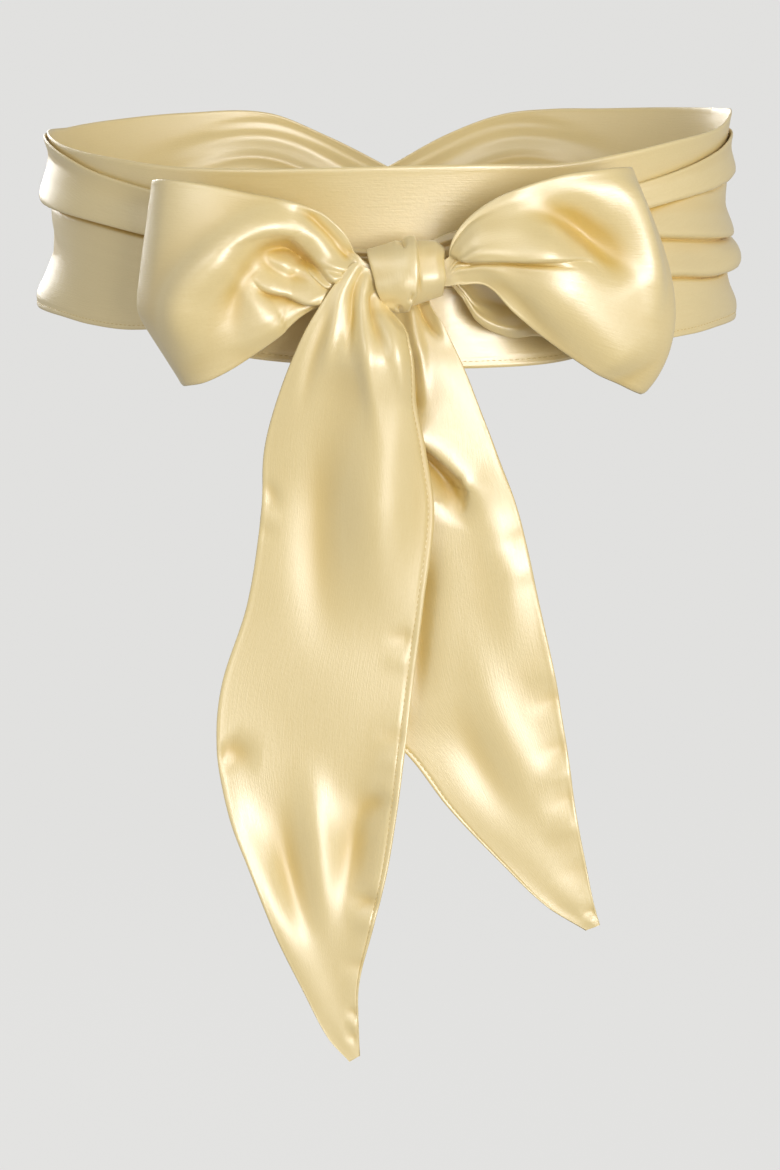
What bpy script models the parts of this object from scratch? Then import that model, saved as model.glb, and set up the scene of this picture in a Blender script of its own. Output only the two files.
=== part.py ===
"""Satin sash, wound twice round a waist and tied in front in a bow with two pointed tails.

One strip of doubled satin. Its middle lies smooth over the front of the waist, its two halves cross
at the back, come forward over the first pass, gather behind the knot and end in the bow and tails.
Lengths below are in millimetres. The origin is the centre of the waist, +Z is up and the bow
faces -Y. Left and right are as seen from the front, so right is +X.
"""

import math
from collections import namedtuple

import bmesh
import bpy
from mathutils import Vector

MM = 0.001

WALL = 1.2  # doubled satin, hems and all, as one wall
HALF_WIDTH = 132.0  # inside of the waist, side to side
HALF_DEPTH = 97.0  # inside of the waist, front to back
FLARE = 5.0  # how much the waist widens towards each edge of the band
FLARE_HEIGHT = 47.0
NARROWEST = 6.0  # height of the narrowest line
INNER = 0.6  # middle of the wall that lies on the waist
OUTER = 2.7  # middle of the wall of the second pass
KNOT_Y = -114.2
KNOT_SQUARENESS = 2.4

SATIN = (0.87, 0.74, 0.46, 1.0)

# A row of the band is its angle from the front, its two edges and how far out its wall lies.
BandRow = namedtuple("BandRow", "at bottom top out")
# A row of the bow is one line across the cloth, from its lower or left edge to the other.
ClothRow = namedtuple("ClothRow", "at x0 z0 x1 z1 y belly reach")
KnotRow = namedtuple("KnotRow", "at top_x bottom_x half_height centre_z half_depth")
# A fold runs along the cloth from one row to another. Lift is out of the cloth, lean across it.
Fold = namedtuple("Fold", "start end from_across to_across width lift lean")

FIRST_PASS = [
    BandRow(-106, -22, 40, INNER),
    BandRow(-88, -24, 41, INNER),
    BandRow(-70, -25, 37.5, INNER),
    BandRow(-50, -27, 34.8, INNER),
    BandRow(-38, -32, 33.3, INNER),
    BandRow(-24, -38.8, 33.6, INNER),
    BandRow(0, -41.6, 35.4, INNER),
    BandRow(16, -42.2, 35.8, INNER),
    BandRow(30, -40.6, 35.4, INNER),
    BandRow(42, -34, 38.2, INNER),
    BandRow(56, -28, 41.8, INNER),
    BandRow(74, -27, 44.8, INNER),
    BandRow(88, -26, 49.5, INNER),
    BandRow(106, -25, 48, INNER),
]

# Each outer wrap is counted in degrees travelled from the front: it starts under the other one,
# crosses the back on a slant and comes forward again.
WRAP_RIGHT = [
    BandRow(106.2, -22, 40, INNER),
    BandRow(124, -16, 41, INNER),
    BandRow(142, -1, 42, INNER),
    BandRow(158, 3, 41, INNER),
    BandRow(169, -6, 31, INNER),
    BandRow(180, -18, 18, INNER),
    BandRow(191, -32, 4, INNER),
    BandRow(202, -40, -4, INNER),
    BandRow(212, -42, -5, 1.4),
    BandRow(222, -41, -3, OUTER),
    BandRow(236, -38, 18, OUTER),
    BandRow(252, -35.5, 38, OUTER),
    BandRow(272, -34, 41, OUTER),
    BandRow(289, -33.7, 35.5, OUTER),
    BandRow(301, -34.6, 31, OUTER),
    BandRow(314, -34.5, 26.2, OUTER),
    BandRow(326, -28, 22, OUTER),
    BandRow(338, -18, 17, OUTER),
    BandRow(349, -11, 12.5, OUTER),
    BandRow(356.6, -9, 10, OUTER),
]
RIGHT_FOLDS = [
    Fold(120, 176, 0.30, 0.30, 0.10, 0.5, 0.0),
    Fold(120, 176, 0.68, 0.66, 0.10, 0.5, 0.0),
    Fold(204, 262, 0.36, 0.34, 0.09, 1.8, 1.4),
    Fold(204, 268, 0.72, 0.62, 0.10, 1.8, 1.4),
    Fold(240, 352, 0.36, 0.62, 0.075, 4.0, 3.4),
    Fold(262, 330, 0.86, 0.92, 0.06, 2.0, 2.0),
    Fold(300, 358, 0.30, 0.36, 0.09, 1.5, 0.6),
    Fold(318, 360, 0.86, 0.80, 0.09, 1.6, 0.6),
]

WRAP_LEFT = [
    BandRow(106.2, -25, 48, INNER),
    BandRow(124, -16, 46, INNER),
    BandRow(140, 0, 44, INNER),
    BandRow(150, 3, 43, 1.2),
    BandRow(160, 2, 40, OUTER),
    BandRow(170, -6, 31, OUTER),
    BandRow(180, -18, 18, OUTER),
    BandRow(191, -32, 5, OUTER),
    BandRow(203, -40, -1, OUTER),
    BandRow(218, -40, 2, OUTER),
    BandRow(234, -35, 20, OUTER),
    BandRow(252, -31, 36, OUTER),
    BandRow(272, -29.4, 39.6, OUTER),
    BandRow(290, -29.4, 34.6, OUTER),
    BandRow(302, -30.6, 29.6, OUTER),
    BandRow(314, -30.7, 25.4, OUTER),
    BandRow(328, -26.5, 20, OUTER),
    BandRow(340, -17.5, 13, OUTER),
    BandRow(352, -11, 7.5, OUTER),
    BandRow(362.9, -10, 6.5, OUTER),
]
LEFT_FOLDS = [
    Fold(120, 148, 0.32, 0.30, 0.10, 0.5, 0.0),
    Fold(120, 148, 0.70, 0.66, 0.10, 0.5, 0.0),
    Fold(156, 262, 0.34, 0.32, 0.09, 1.9, 1.4),
    Fold(156, 240, 0.70, 0.72, 0.09, 1.9, 1.4),
    Fold(224, 352, 0.73, 0.78, 0.06, 3.4, 3.6),
    Fold(250, 330, 0.28, 0.16, 0.10, 1.4, 0.0),
    Fold(312, 366, 0.42, 0.46, 0.10, 1.6, 0.6),
]

LEFT_LOOP = [
    ClothRow(0.000, -3.0, -12.5, -3.0, -1.5, -118.2, -0.5, 0),
    ClothRow(0.045, -9.6, -12.8, -9.6, 1.6, -118.5, -0.8, 0),
    ClothRow(0.090, -16.5, -13.2, -15.6, 11.0, -119.2, -1.6, 0),
    ClothRow(0.140, -26.0, -15.0, -25.0, 20.0, -120.0, -3, 0),
    ClothRow(0.220, -40.0, -25.0, -38.5, 24.4, -120.6, -5, 0),
    ClothRow(0.300, -54.0, -36.5, -52.5, 27.2, -119.4, -8, 1),
    ClothRow(0.380, -68.0, -44.6, -68.0, 30.2, -115.8, -8, 5),
    ClothRow(0.450, -76.5, -47.5, -83.0, 31.4, -108.4, -5, 11),
    ClothRow(0.500, -78.8, -48.6, -89.6, 30.2, -101.0, 0, 14),
    ClothRow(0.550, -77.0, -47.0, -84.0, 29.0, -95.0, 1, 12),
    ClothRow(0.620, -68.0, -42.6, -70.0, 26.5, -93.4, 0, 5),
    ClothRow(0.750, -45.0, -27.0, -45.0, 19.0, -99.4, 0, 0),
    ClothRow(0.880, -22.0, -14.0, -22.0, 7.0, -105.6, 0, 0),
    ClothRow(0.945, -11.0, -12.6, -11.0, 1.0, -108.4, 0, 0),
    ClothRow(1.000, -3.0, -12.0, -3.0, -2.0, -109.2, 0, 0),
]
LEFT_LOOP_FOLDS = [
    Fold(0.03, 0.44, 0.86, 0.90, 0.09, 3.0, 1.0),
    Fold(0.04, 0.44, 0.50, 0.66, 0.12, -6.0, 0.0),
    Fold(0.02, 0.28, 0.30, 0.36, 0.07, 1.4, 0.0),
    Fold(0.04, 0.36, 0.12, 0.16, 0.08, -1.6, 0.0),
    Fold(0.62, 0.98, 0.35, 0.35, 0.12, 1.6, 0.0),
    Fold(0.62, 0.98, 0.75, 0.75, 0.12, 1.6, 0.0),
]

RIGHT_LOOP = [
    ClothRow(0.000, 17.0, -8.5, 17.0, 1.0, -119.2, -0.4, 0),
    ClothRow(0.045, 23.2, -8.3, 23.2, 2.8, -119.3, -0.6, 0),
    ClothRow(0.080, 28.0, -7.8, 26.6, 12.0, -119.8, -1.2, 0),
    ClothRow(0.140, 37.0, -8.5, 36.0, 22.0, -120.8, -3, 0),
    ClothRow(0.220, 48.0, -18.5, 50.0, 29.2, -121.4, -4, 0),
    ClothRow(0.300, 61.5, -29.4, 66.0, 34.0, -120.2, -7, 0),
    ClothRow(0.380, 77.0, -40.0, 81.0, 35.6, -116.2, -7, 4),
    ClothRow(0.450, 91.0, -48.5, 90.0, 35.8, -108.8, -5, 10),
    ClothRow(0.500, 97.2, -52.0, 93.0, 35.0, -101.0, 0, 14),
    ClothRow(0.550, 93.0, -49.5, 90.0, 34.0, -94.5, 1, 12),
    ClothRow(0.620, 80.0, -43.0, 80.0, 31.0, -91.0, 0, 5),
    ClothRow(0.720, 61.0, -31.0, 62.0, 26.0, -95.4, 0, 0),
    ClothRow(0.800, 46.0, -30.0, 46.0, 21.0, -99.2, 0, 0),
    ClothRow(0.880, 33.0, -23.0, 33.0, 12.0, -103.4, 0, 0),
    ClothRow(0.940, 25.5, -10.5, 25.5, 3.6, -107.2, 0, 0),
    ClothRow(0.960, 22.8, -8.6, 22.8, 2.2, -108.4, 0, 0),
    ClothRow(1.000, 17.0, -8.0, 17.0, 1.0, -109.2, 0, 0),
]
RIGHT_LOOP_FOLDS = [
    Fold(0.03, 0.42, 0.62, 0.52, 0.07, -4.2, 0.0),
    Fold(0.20, 0.49, 0.68, 0.72, 0.13, -4.0, 0.0),
    Fold(0.03, 0.42, 0.84, 0.86, 0.10, 2.6, 0.0),
    Fold(0.02, 0.34, 0.30, 0.30, 0.09, 2.0, 0.0),
    Fold(0.36, 0.50, 0.20, 0.90, 0.30, -1.6, 0.0),
    Fold(0.62, 0.98, 0.35, 0.35, 0.12, 1.6, 0.0),
    Fold(0.62, 0.98, 0.75, 0.75, 0.12, 1.6, 0.0),
]

KNOT = [
    KnotRow(0.00, -8.2, -0.9, 11.8, -7.2, 8.8),
    KnotRow(0.12, -4.6, 2.0, 11.9, -6.2, 9.9),
    KnotRow(0.35, 3.5, 5.6, 12.4, -4.8, 10.7),
    KnotRow(0.60, 10.5, 10.0, 12.2, -4.0, 10.8),
    KnotRow(0.85, 18.0, 17.5, 10.8, -2.8, 9.8),
    KnotRow(1.00, 21.6, 21.0, 8.6, -3.3, 7.8),
]
KNOT_PLY_AT = 0.56  # where the second turn of the knot lies over the first
KNOT_PLY_WIDTH = 0.06
KNOT_PLY_STEP = 1.2

LEFT_TAIL = [
    ClothRow(0, -4.4, -3.5, -1.8, -11.5, -120.4, -0.4, 0),
    ClothRow(5, -9.6, -0.4, -5.2, -16.0, -120.7, -0.5, 0),
    ClothRow(10, -13.0, 0.4, -4.2, -21.8, -121.4, -0.9, 0),
    ClothRow(16, -16.6, -2.6, -1.4, -25.8, -123.0, -1.5, 0),
    ClothRow(26, -23.0, -11.0, 3.5, -30.0, -125.2, -2.5, 0),
    ClothRow(40, -32.2, -26.5, 8.0, -38.0, -125.4, -3, 0),
    ClothRow(60, -41.5, -49.5, 10.0, -53.0, -122.0, -3, 0),
    ClothRow(80, -47.2, -71.0, 14.2, -71.5, -119.8, -3, 0),
    ClothRow(105, -48.6, -96.0, 17.6, -96.0, -118.0, -2, 0),
    ClothRow(135, -54.0, -131.0, 13.8, -130.0, -117.0, -1, 0),
    ClothRow(165, -64.0, -163.0, 10.0, -161.0, -116.5, 0, 0),
    ClothRow(190, -66.0, -188.0, 6.6, -190.0, -116.5, 1, 0),
    ClothRow(213, -61.7, -213.5, 4.0, -211.0, -117.0, 1, 0),
    ClothRow(236, -54.0, -235.0, 0.0, -236.0, -118.0, 1, 0),
    ClothRow(260, -44.0, -259.5, -6.0, -259.0, -119.0, 0, 0),
    ClothRow(282, -33.5, -282.0, -11.2, -281.0, -119.0, 0, 0),
    ClothRow(301, -23.5, -302.0, -11.3, -300.5, -118.0, 0, 0),
    ClothRow(312, -15.0, -311.8, -11.2, -309.5, -117.5, 0, 0),
]
LEFT_TAIL_FOLDS = [
    Fold(4, 110, 0.26, 0.30, 0.09, 2.6, 0.0),
    Fold(4, 84, 0.50, 0.52, 0.07, -1.8, 0.0),
    Fold(4, 150, 0.72, 0.66, 0.09, 2.4, 0.0),
    Fold(60, 300, 0.92, 0.90, 0.10, -1.4, 0.0),
    Fold(120, 260, 0.16, 0.12, 0.12, -1.8, 0.0),
]

RIGHT_TAIL = [
    ClothRow(0, 3.5, -9.5, 14.5, -8.5, -101.8, 0, 0),
    ClothRow(10, 1.5, -18.5, 16.5, -17.5, -102.2, 0, 0),
    ClothRow(20, -1.0, -28.0, 22.6, -28.0, -105.0, -1, 0),
    ClothRow(34, -4.0, -41.5, 29.2, -41.0, -108.5, -2, 0),
    ClothRow(55, -9.0, -61.0, 36.8, -60.5, -110.5, -2, 0),
    ClothRow(80, -15.0, -84.0, 45.8, -83.5, -110.5, -2, 0),
    ClothRow(102, -19.0, -102.0, 51.6, -102.0, -110.5, -2, 0),
    ClothRow(130, -21.5, -131.0, 58.0, -131.0, -110.5, -1, 0),
    ClothRow(160, -19.0, -161.0, 64.7, -161.0, -110.5, 0, 0),
    ClothRow(174, -11.0, -175.0, 67.0, -175.0, -110.5, 0, 0),
    ClothRow(192, 7.4, -191.5, 69.8, -192.0, -110.5, 0, 0),
    ClothRow(214, 23.9, -213.0, 72.8, -213.5, -111.0, 0, 0),
    ClothRow(236, 44.7, -235.0, 77.0, -235.5, -111.5, 0, 0),
    ClothRow(252, 61.0, -250.8, 80.2, -251.0, -112.0, 0, 0),
    ClothRow(263, 77.0, -260.6, 82.4, -258.5, -112.0, 0, 0),
]
RIGHT_TAIL_FOLDS = [
    Fold(6, 100, 0.72, 0.80, 0.10, 2.4, 0.0),
    Fold(10, 110, 0.48, 0.56, 0.09, -3.0, 0.0),
    Fold(8, 84, 0.26, 0.30, 0.09, 1.8, 0.0),
    Fold(110, 255, 0.92, 0.90, 0.10, -1.4, 0.0),
]

FOLD_GROWTH = 0.25  # share of a fold's length over which it grows from nothing
FINITE = 1e-3  # step for the surface's own directions
CROWDING = 0.55  # how much the grid's lines draw together where a fold is sharp


def clear_scene():
    for old in list(bpy.data.objects):
        bpy.data.objects.remove(old, do_unlink=True)


def satin(name):
    """A material of the sash's own colour and gloss."""
    made = bpy.data.materials.new(name)
    made.use_nodes = True
    shader = made.node_tree.nodes["Principled BSDF"]
    shader.inputs["Base Color"].default_value = SATIN
    shader.inputs["Roughness"].default_value = 0.34
    shader.inputs["Metallic"].default_value = 0.0
    return made


def smooth_step(value):
    value = min(max(value, 0.0), 1.0)
    return value * value * (3 - 2 * value)


def slope(rows, i, column):
    """Rise of a column at a row, from the rows on its two sides."""
    low = max(i - 1, 0)
    high = min(i + 1, len(rows) - 1)
    return (rows[high][column] - rows[low][column]) / (rows[high].at - rows[low].at)


def between(rows, at):
    """The row that a smooth curve through the table has at one place."""
    at = min(max(at, rows[0].at), rows[-1].at)
    i = 0
    while i < len(rows) - 2 and at > rows[i + 1].at:
        i += 1
    low, high = rows[i], rows[i + 1]
    span = high.at - low.at
    t = (at - low.at) / span
    values = [at]
    for column in range(1, len(low)):
        start = slope(rows, i, column) * span
        end = slope(rows, i + 1, column) * span
        values.append(
            (2 * t**3 - 3 * t**2 + 1) * low[column]
            + (t**3 - 2 * t**2 + t) * start
            + (3 * t**2 - 2 * t**3) * high[column]
            + (t**3 - t**2) * end
        )
    return type(low)(*values)


def flare(height):
    return FLARE * ((height - NARROWEST) / FLARE_HEIGHT) ** 2


def band_point(rows, turning):
    """A surface round the waist; turning is 1 where its table counts towards +X, else -1."""

    def point(at, across):
        row = between(rows, at)
        height = row.bottom + (row.top - row.bottom) * across
        out = row.out + flare(height)
        angle = math.radians(at * turning)
        x = (HALF_WIDTH + out) * math.sin(angle)
        y = -(HALF_DEPTH + out) * math.cos(angle)
        return Vector((x, y, height))

    return point


def cloth_point(rows, side=1, skew=1.0):
    """A surface from lines across the cloth; reach pushes the middle of a line sideways."""

    def point(at, across):
        row = between(rows, at)
        x = row.x0 + (row.x1 - row.x0) * across
        z = row.z0 + (row.z1 - row.z0) * across
        x += side * row.reach * math.sin(math.pi * max(across, 0.0) ** skew)
        y = row.y + row.belly * 4 * across * (1 - across)
        return Vector((x, y, z))

    return point


def knot_point(turn, across):
    """The knot as a short tube lying on its side: turn runs round it from its top."""
    row = between(KNOT, across)
    up = math.cos(turn)
    front = math.sin(turn)
    size = (abs(up) ** KNOT_SQUARENESS + abs(front) ** KNOT_SQUARENESS) ** (-1 / KNOT_SQUARENESS)
    over = smooth_step((across - KNOT_PLY_AT) / KNOT_PLY_WIDTH + 0.5)
    step = KNOT_PLY_STEP * over * (1 + front) / 2
    x = row.bottom_x + (row.top_x - row.bottom_x) * (1 + up * size) / 2
    y = KNOT_Y - (row.half_depth + step) * front * size
    z = row.centre_z + (row.half_height + step) * up * size
    return Vector((x, y, z))


def folded(point, folds, span, outward):
    """The surface with its folds; outward is 1 or -1, for the side that lift goes to."""

    def with_folds(at, across):
        lift = 0.0
        lean = 0.0
        for fold in folds:
            if not fold.start < at < fold.end:
                continue
            t = (at - fold.start) / (fold.end - fold.start)
            centre = fold.from_across + (fold.to_across - fold.from_across) * t
            grown = smooth_step(t / FOLD_GROWTH) * smooth_step((1 - t) / FOLD_GROWTH)
            shape = grown * math.exp(-(((across - centre) / fold.width) ** 2))
            lift += fold.lift * shape
            lean += fold.lean * shape
        step = FINITE * span
        along = point(at + step, across) - point(at - step, across)
        over = (point(at, across + FINITE) - point(at, across - FINITE)).normalized()
        out = along.cross(over).normalized() * outward
        return point(at, across) + out * lift - over * lean

    return with_folds


def add_node(name, mesh, material):
    """One named object with its wall, placed in the scene."""
    node = bpy.data.objects.new(name, mesh)
    bpy.context.scene.collection.objects.link(node)
    mesh.materials.append(material)
    wall = node.modifiers.new("wall", "SOLIDIFY")
    wall.thickness = WALL * MM
    wall.offset = 0.0
    mesh.shade_smooth()
    return node


def crowded(share, centre):
    """An even share across the cloth, moved so that the grid's lines crowd near one place."""
    if centre is None:
        return share
    turn = 2 * math.pi
    return share - CROWDING / turn * (math.sin(turn * (share - centre)) + math.sin(turn * centre))


def cloth_node(name, point, start, end, along_steps, across_steps, material, crowd_at=None):
    """A wall of cloth on a surface, from a grid along and across it."""
    mesh = bpy.data.meshes.new(name)
    shaped = bmesh.new()
    bmesh.ops.create_grid(shaped, x_segments=along_steps, y_segments=across_steps, size=0.5)
    for corner in shaped.verts:
        at = start + (end - start) * (corner.co.x + 0.5)
        across = crowded(corner.co.y + 0.5, crowd_at)
        corner.co = point(at, across) * MM
    shaped.to_mesh(mesh)
    shaped.free()
    return add_node(name, mesh, material)


def knot_node(name, around_steps, across_steps, material):
    """The knot's tube, from a grid rolled up and joined to itself."""
    mesh = bpy.data.meshes.new(name)
    shaped = bmesh.new()
    bmesh.ops.create_grid(shaped, x_segments=around_steps, y_segments=across_steps, size=0.5)
    for corner in shaped.verts:
        turn = 2 * math.pi * (corner.co.x + 0.5)
        corner.co = knot_point(turn, corner.co.y + 0.5) * MM
    bmesh.ops.remove_doubles(shaped, verts=shaped.verts, dist=1e-6)
    bmesh.ops.recalc_face_normals(shaped, faces=shaped.faces)
    shaped.to_mesh(mesh)
    shaped.free()
    return add_node(name, mesh, material)


def build():
    clear_scene()
    first = folded(band_point(FIRST_PASS, 1), [], 200, 1)
    cloth_node("band_first_pass", first, -106, 106, 34, 4, satin("band_first_pass"))
    right = folded(band_point(WRAP_RIGHT, -1), RIGHT_FOLDS, 250, -1)
    cloth_node("wrap_right", right, 106.2, 356.6, 40, 14, satin("wrap_right"), 0.45)
    left = folded(band_point(WRAP_LEFT, 1), LEFT_FOLDS, 250, 1)
    cloth_node("wrap_left", left, 106.2, 362.9, 40, 14, satin("wrap_left"), 0.8)
    loop = folded(cloth_point(LEFT_LOOP, -1, 0.6), LEFT_LOOP_FOLDS, 1, -1)
    cloth_node("loop_left", loop, 0, 1, 28, 11, satin("loop_left"))
    loop = folded(cloth_point(RIGHT_LOOP, 1, 0.75), RIGHT_LOOP_FOLDS, 1, 1)
    cloth_node("loop_right", loop, 0, 1, 28, 11, satin("loop_right"))
    knot_node("knot", 28, 10, satin("knot"))
    tail = folded(cloth_point(LEFT_TAIL), LEFT_TAIL_FOLDS, 300, -1)
    cloth_node("tail_left", tail, 0, 312, 28, 10, satin("tail_left"))
    tail = folded(cloth_point(RIGHT_TAIL), RIGHT_TAIL_FOLDS, 260, -1)
    cloth_node("tail_right", tail, 0, 263, 26, 9, satin("tail_right"))


build()
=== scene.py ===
"""Satin sash, wound round a waist and tied in front in a bow: the looks.

Each stretch of the strip is a fine sheet laid on the same sections as its solid, with the folds,
gathers and hems that the tied satin has. Lengths in the tables are in millimetres. The origin is
the centre of the waist, +Z is up and the bow faces -Y. Left and right are as seen from the front.
"""

import logging
import math
from dataclasses import dataclass, field
from enum import Enum
from typing import NamedTuple

import bmesh
import bpy
import numpy as np
from mathutils import Matrix, Vector


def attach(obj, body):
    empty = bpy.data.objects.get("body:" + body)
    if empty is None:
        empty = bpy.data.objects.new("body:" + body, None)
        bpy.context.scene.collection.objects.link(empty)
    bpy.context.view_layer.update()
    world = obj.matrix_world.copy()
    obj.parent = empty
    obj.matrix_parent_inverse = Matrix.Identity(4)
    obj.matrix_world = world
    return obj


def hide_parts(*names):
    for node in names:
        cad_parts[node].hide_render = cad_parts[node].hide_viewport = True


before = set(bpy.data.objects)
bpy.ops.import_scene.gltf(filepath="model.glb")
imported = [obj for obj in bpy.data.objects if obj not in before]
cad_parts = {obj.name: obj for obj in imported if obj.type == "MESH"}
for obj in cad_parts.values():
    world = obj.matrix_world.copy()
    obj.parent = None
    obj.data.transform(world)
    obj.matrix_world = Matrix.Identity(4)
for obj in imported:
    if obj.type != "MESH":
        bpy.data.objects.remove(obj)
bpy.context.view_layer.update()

LOG = logging.getLogger("satin_sash")
MM = 0.001

HALF_WIDTH = 132.0
HALF_DEPTH = 97.0
FLARE = 5.0
FLARE_HEIGHT = 47.0
NARROWEST = 6.0
INNER = 0.6
OUTER = 2.7
WAIST_MM_PER_DEGREE = 2.05
KNOT_Y = -114.2
KNOT_SQUARENESS = 2.15
UV_NAME = "cloth"
HEM_GROUP = "hem"
# Painted shade in folds: the mesh attribute that carries it, how far round a point the folds' surroundings are
# blurred, and the depth in millimetres that gives full shade.
PAINTED_SHADE_ATTRIBUTE = "painted_shade_share"
PAINTED_SHADE_BLUR = 8.0
PAINTED_SHADE_DEPTH = 1.9
CORNER_SHARPNESS = 9.0
END_SHARE = 0.05


class BandRow(NamedTuple):
    """A line across a stretch on the waist, at an angle from the front."""

    at: float
    bottom: float
    top: float
    out: float


class ClothRow(NamedTuple):
    """A line across a stretch of the bow, from its lower or left edge to the other."""

    at: float
    x0: float
    z0: float
    x1: float
    z1: float
    y: float
    belly: float
    reach: float


class KnotRow(NamedTuple):
    """A ring of the knot, across it from left to right."""

    at: float
    top_x: float
    bottom_x: float
    half_height: float
    centre_z: float
    half_depth: float


class FoldKind(Enum):
    """How a fold looks when cut across."""

    ROLL = "round on both sides"
    CREASE = "sharp on both sides"
    TUCK = "a long slope, then a step down"


class Held(Enum):
    """How a stretch of cloth is held."""

    STRETCHED = "stretched"
    GATHERED = "gathered"
    FOLDED = "folded"
    HUNG = "hung"


class Ply(Enum):
    """Which layer of a doubled stretch a fold is on."""

    FRONT = "front"
    BACK = "back"
    BOTH = "both"


@dataclass(frozen=True)
class Fold:
    """A fold that follows a line drawn on the cloth.

    Attributes:
        path: Two or more places along the fold, in millimetres on the stretch's plan.
        width: Half width in millimetres.
        lift: Height out of the cloth, negative for a valley.
        kind: Its form when cut across.
        lean: How far its top is pushed sideways, to the right of its path's direction.
        grow: Share of its length over which it grows from nothing.
        fade: Share of its length over which it dies away.
        ply: The layer it is on.
        step: Width of the steep side as a share of width, for a tuck.
    """

    path: tuple[tuple[float, float], ...]
    width: float
    lift: float
    kind: FoldKind = FoldKind.ROLL
    lean: float = 0.0
    grow: float = 0.25
    fade: float = 0.25
    ply: Ply = Ply.BOTH
    step: float = 0.25


@dataclass(frozen=True)
class Gather:
    """Pleats that run away from a place where the cloth is drawn together.

    Attributes:
        at: Place along the cloth where they start, in the stretch's own measure.
        reach: How far they run, in the same measure, negative towards the start.
        count: Number of pleats across the cloth.
        lift: Height in millimetres.
        seed: Seed of their uneven widths.
    """

    at: float
    reach: float
    count: float
    lift: float
    seed: int


def eased(value: np.ndarray) -> np.ndarray:
    """A smooth rise from 0 to 1.

    Args:
        value: Where on the rise, 0 to 1.

    Returns:
        The eased value.
    """
    held = np.clip(value, 0.0, 1.0)
    return held * held * (3.0 - 2.0 * held)


def unit(vectors: np.ndarray) -> np.ndarray:
    """Vectors of length one.

    Args:
        vectors: Vectors along the last axis.

    Returns:
        The same directions.
    """
    return vectors / np.maximum(np.linalg.norm(vectors, axis=-1, keepdims=True), 1e-9)


class SectionTable:
    """Smooth curves through the rows of a table, whose first column is the place along the cloth."""

    def __init__(self, rows: tuple[tuple[float, ...], ...]) -> None:
        """Read the rows and work out their slopes.

        Args:
            rows: The table's rows, in order.
        """
        table = np.array([tuple(row) for row in rows], dtype=float)
        self.at = table[:, 0]
        self.columns = table[:, 1:]
        low = np.maximum(np.arange(len(table)) - 1, 0)
        high = np.minimum(np.arange(len(table)) + 1, len(table) - 1)
        rise = self.columns[high] - self.columns[low]
        self.slopes = rise / (self.at[high] - self.at[low])[:, None]

    def sample(self, at: np.ndarray) -> np.ndarray:
        """Values of every column at some places.

        Args:
            at: Places along the cloth.

        Returns:
            The columns, along the last axis.
        """
        held = np.clip(at, self.at[0], self.at[-1])
        i = np.clip(np.searchsorted(self.at, held, side="right") - 1, 0, len(self.at) - 2)
        span = self.at[i + 1] - self.at[i]
        t = ((held - self.at[i]) / span)[..., None]
        span = span[..., None]
        return (
            (2 * t**3 - 3 * t**2 + 1) * self.columns[i]
            + (t**3 - 2 * t**2 + t) * self.slopes[i] * span
            + (3 * t**2 - 2 * t**3) * self.columns[i + 1]
            + (t**3 - t**2) * self.slopes[i + 1] * span
        )


class FoldPath:
    """A smooth line through a fold's places, for distances from it."""

    SAMPLES_PER_LEG = 10

    def __init__(self, places: tuple[tuple[float, float], ...]) -> None:
        """Draw the line.

        Args:
            places: Two or more places on the plan.
        """
        rows = tuple((float(i), *place) for i, place in enumerate(places))
        steps = self.SAMPLES_PER_LEG * (len(places) - 1) + 1
        self.line = SectionTable(rows).sample(np.linspace(0, len(places) - 1, steps))
        legs = np.diff(self.line, axis=0)
        self.lengths = np.linalg.norm(legs, axis=1)
        self.directions = legs / self.lengths[:, None]
        self.starts = np.concatenate([[0.0], np.cumsum(self.lengths)])

    def measure(self, plan: np.ndarray) -> tuple[np.ndarray, np.ndarray, np.ndarray]:
        """Where points lie beside the line.

        Args:
            plan: Points on the plan, two numbers along the last axis.

        Returns:
            The share of the line's length, the distance to its right, and the direction to the
            right, for each point.
        """
        nearest = np.full(plan.shape[:-1], np.inf)
        share = np.zeros(plan.shape[:-1])
        aside = np.zeros(plan.shape[:-1])
        right = np.zeros(plan.shape)
        last = len(self.lengths) - 1
        for i, (start, heading) in enumerate(zip(self.line[:-1], self.directions)):
            away = plan - start
            along = away @ heading
            low = -np.inf if i == 0 else 0.0
            high = np.inf if i == last else self.lengths[i]
            held = np.clip(along, low, high)
            side = away @ np.array([heading[1], -heading[0]])
            gap = np.hypot(along - held, side)
            closer = gap < nearest
            nearest = np.where(closer, gap, nearest)
            share = np.where(closer, (self.starts[i] + held) / self.starts[-1], share)
            aside = np.where(closer, np.where(side < 0, -gap, gap), aside)
            right = np.where(closer[..., None], np.array([heading[1], -heading[0]]), right)
        return share, aside, right


@dataclass(frozen=True)
class StitchRow:
    """A row of topstitching along an edge of a stretch.

    Attributes:
        far_edge: True for the edge where the share across is 1.
        inset: Distance from that edge in millimetres.
        pitch: Length of a stitch and its gap in millimetres.
        stitch: Length of a stitch in millimetres.
        thread: Width of the thread in millimetres.
    """

    far_edge: bool
    inset: float = 2.4
    pitch: float = 2.3
    stitch: float = 1.7
    thread: float = 0.34

    def share(self, width: float) -> float:
        """Where the row lies across the cloth, on a stretch of a given width in millimetres."""
        return 1 - self.inset / width if self.far_edge else self.inset / width


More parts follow.
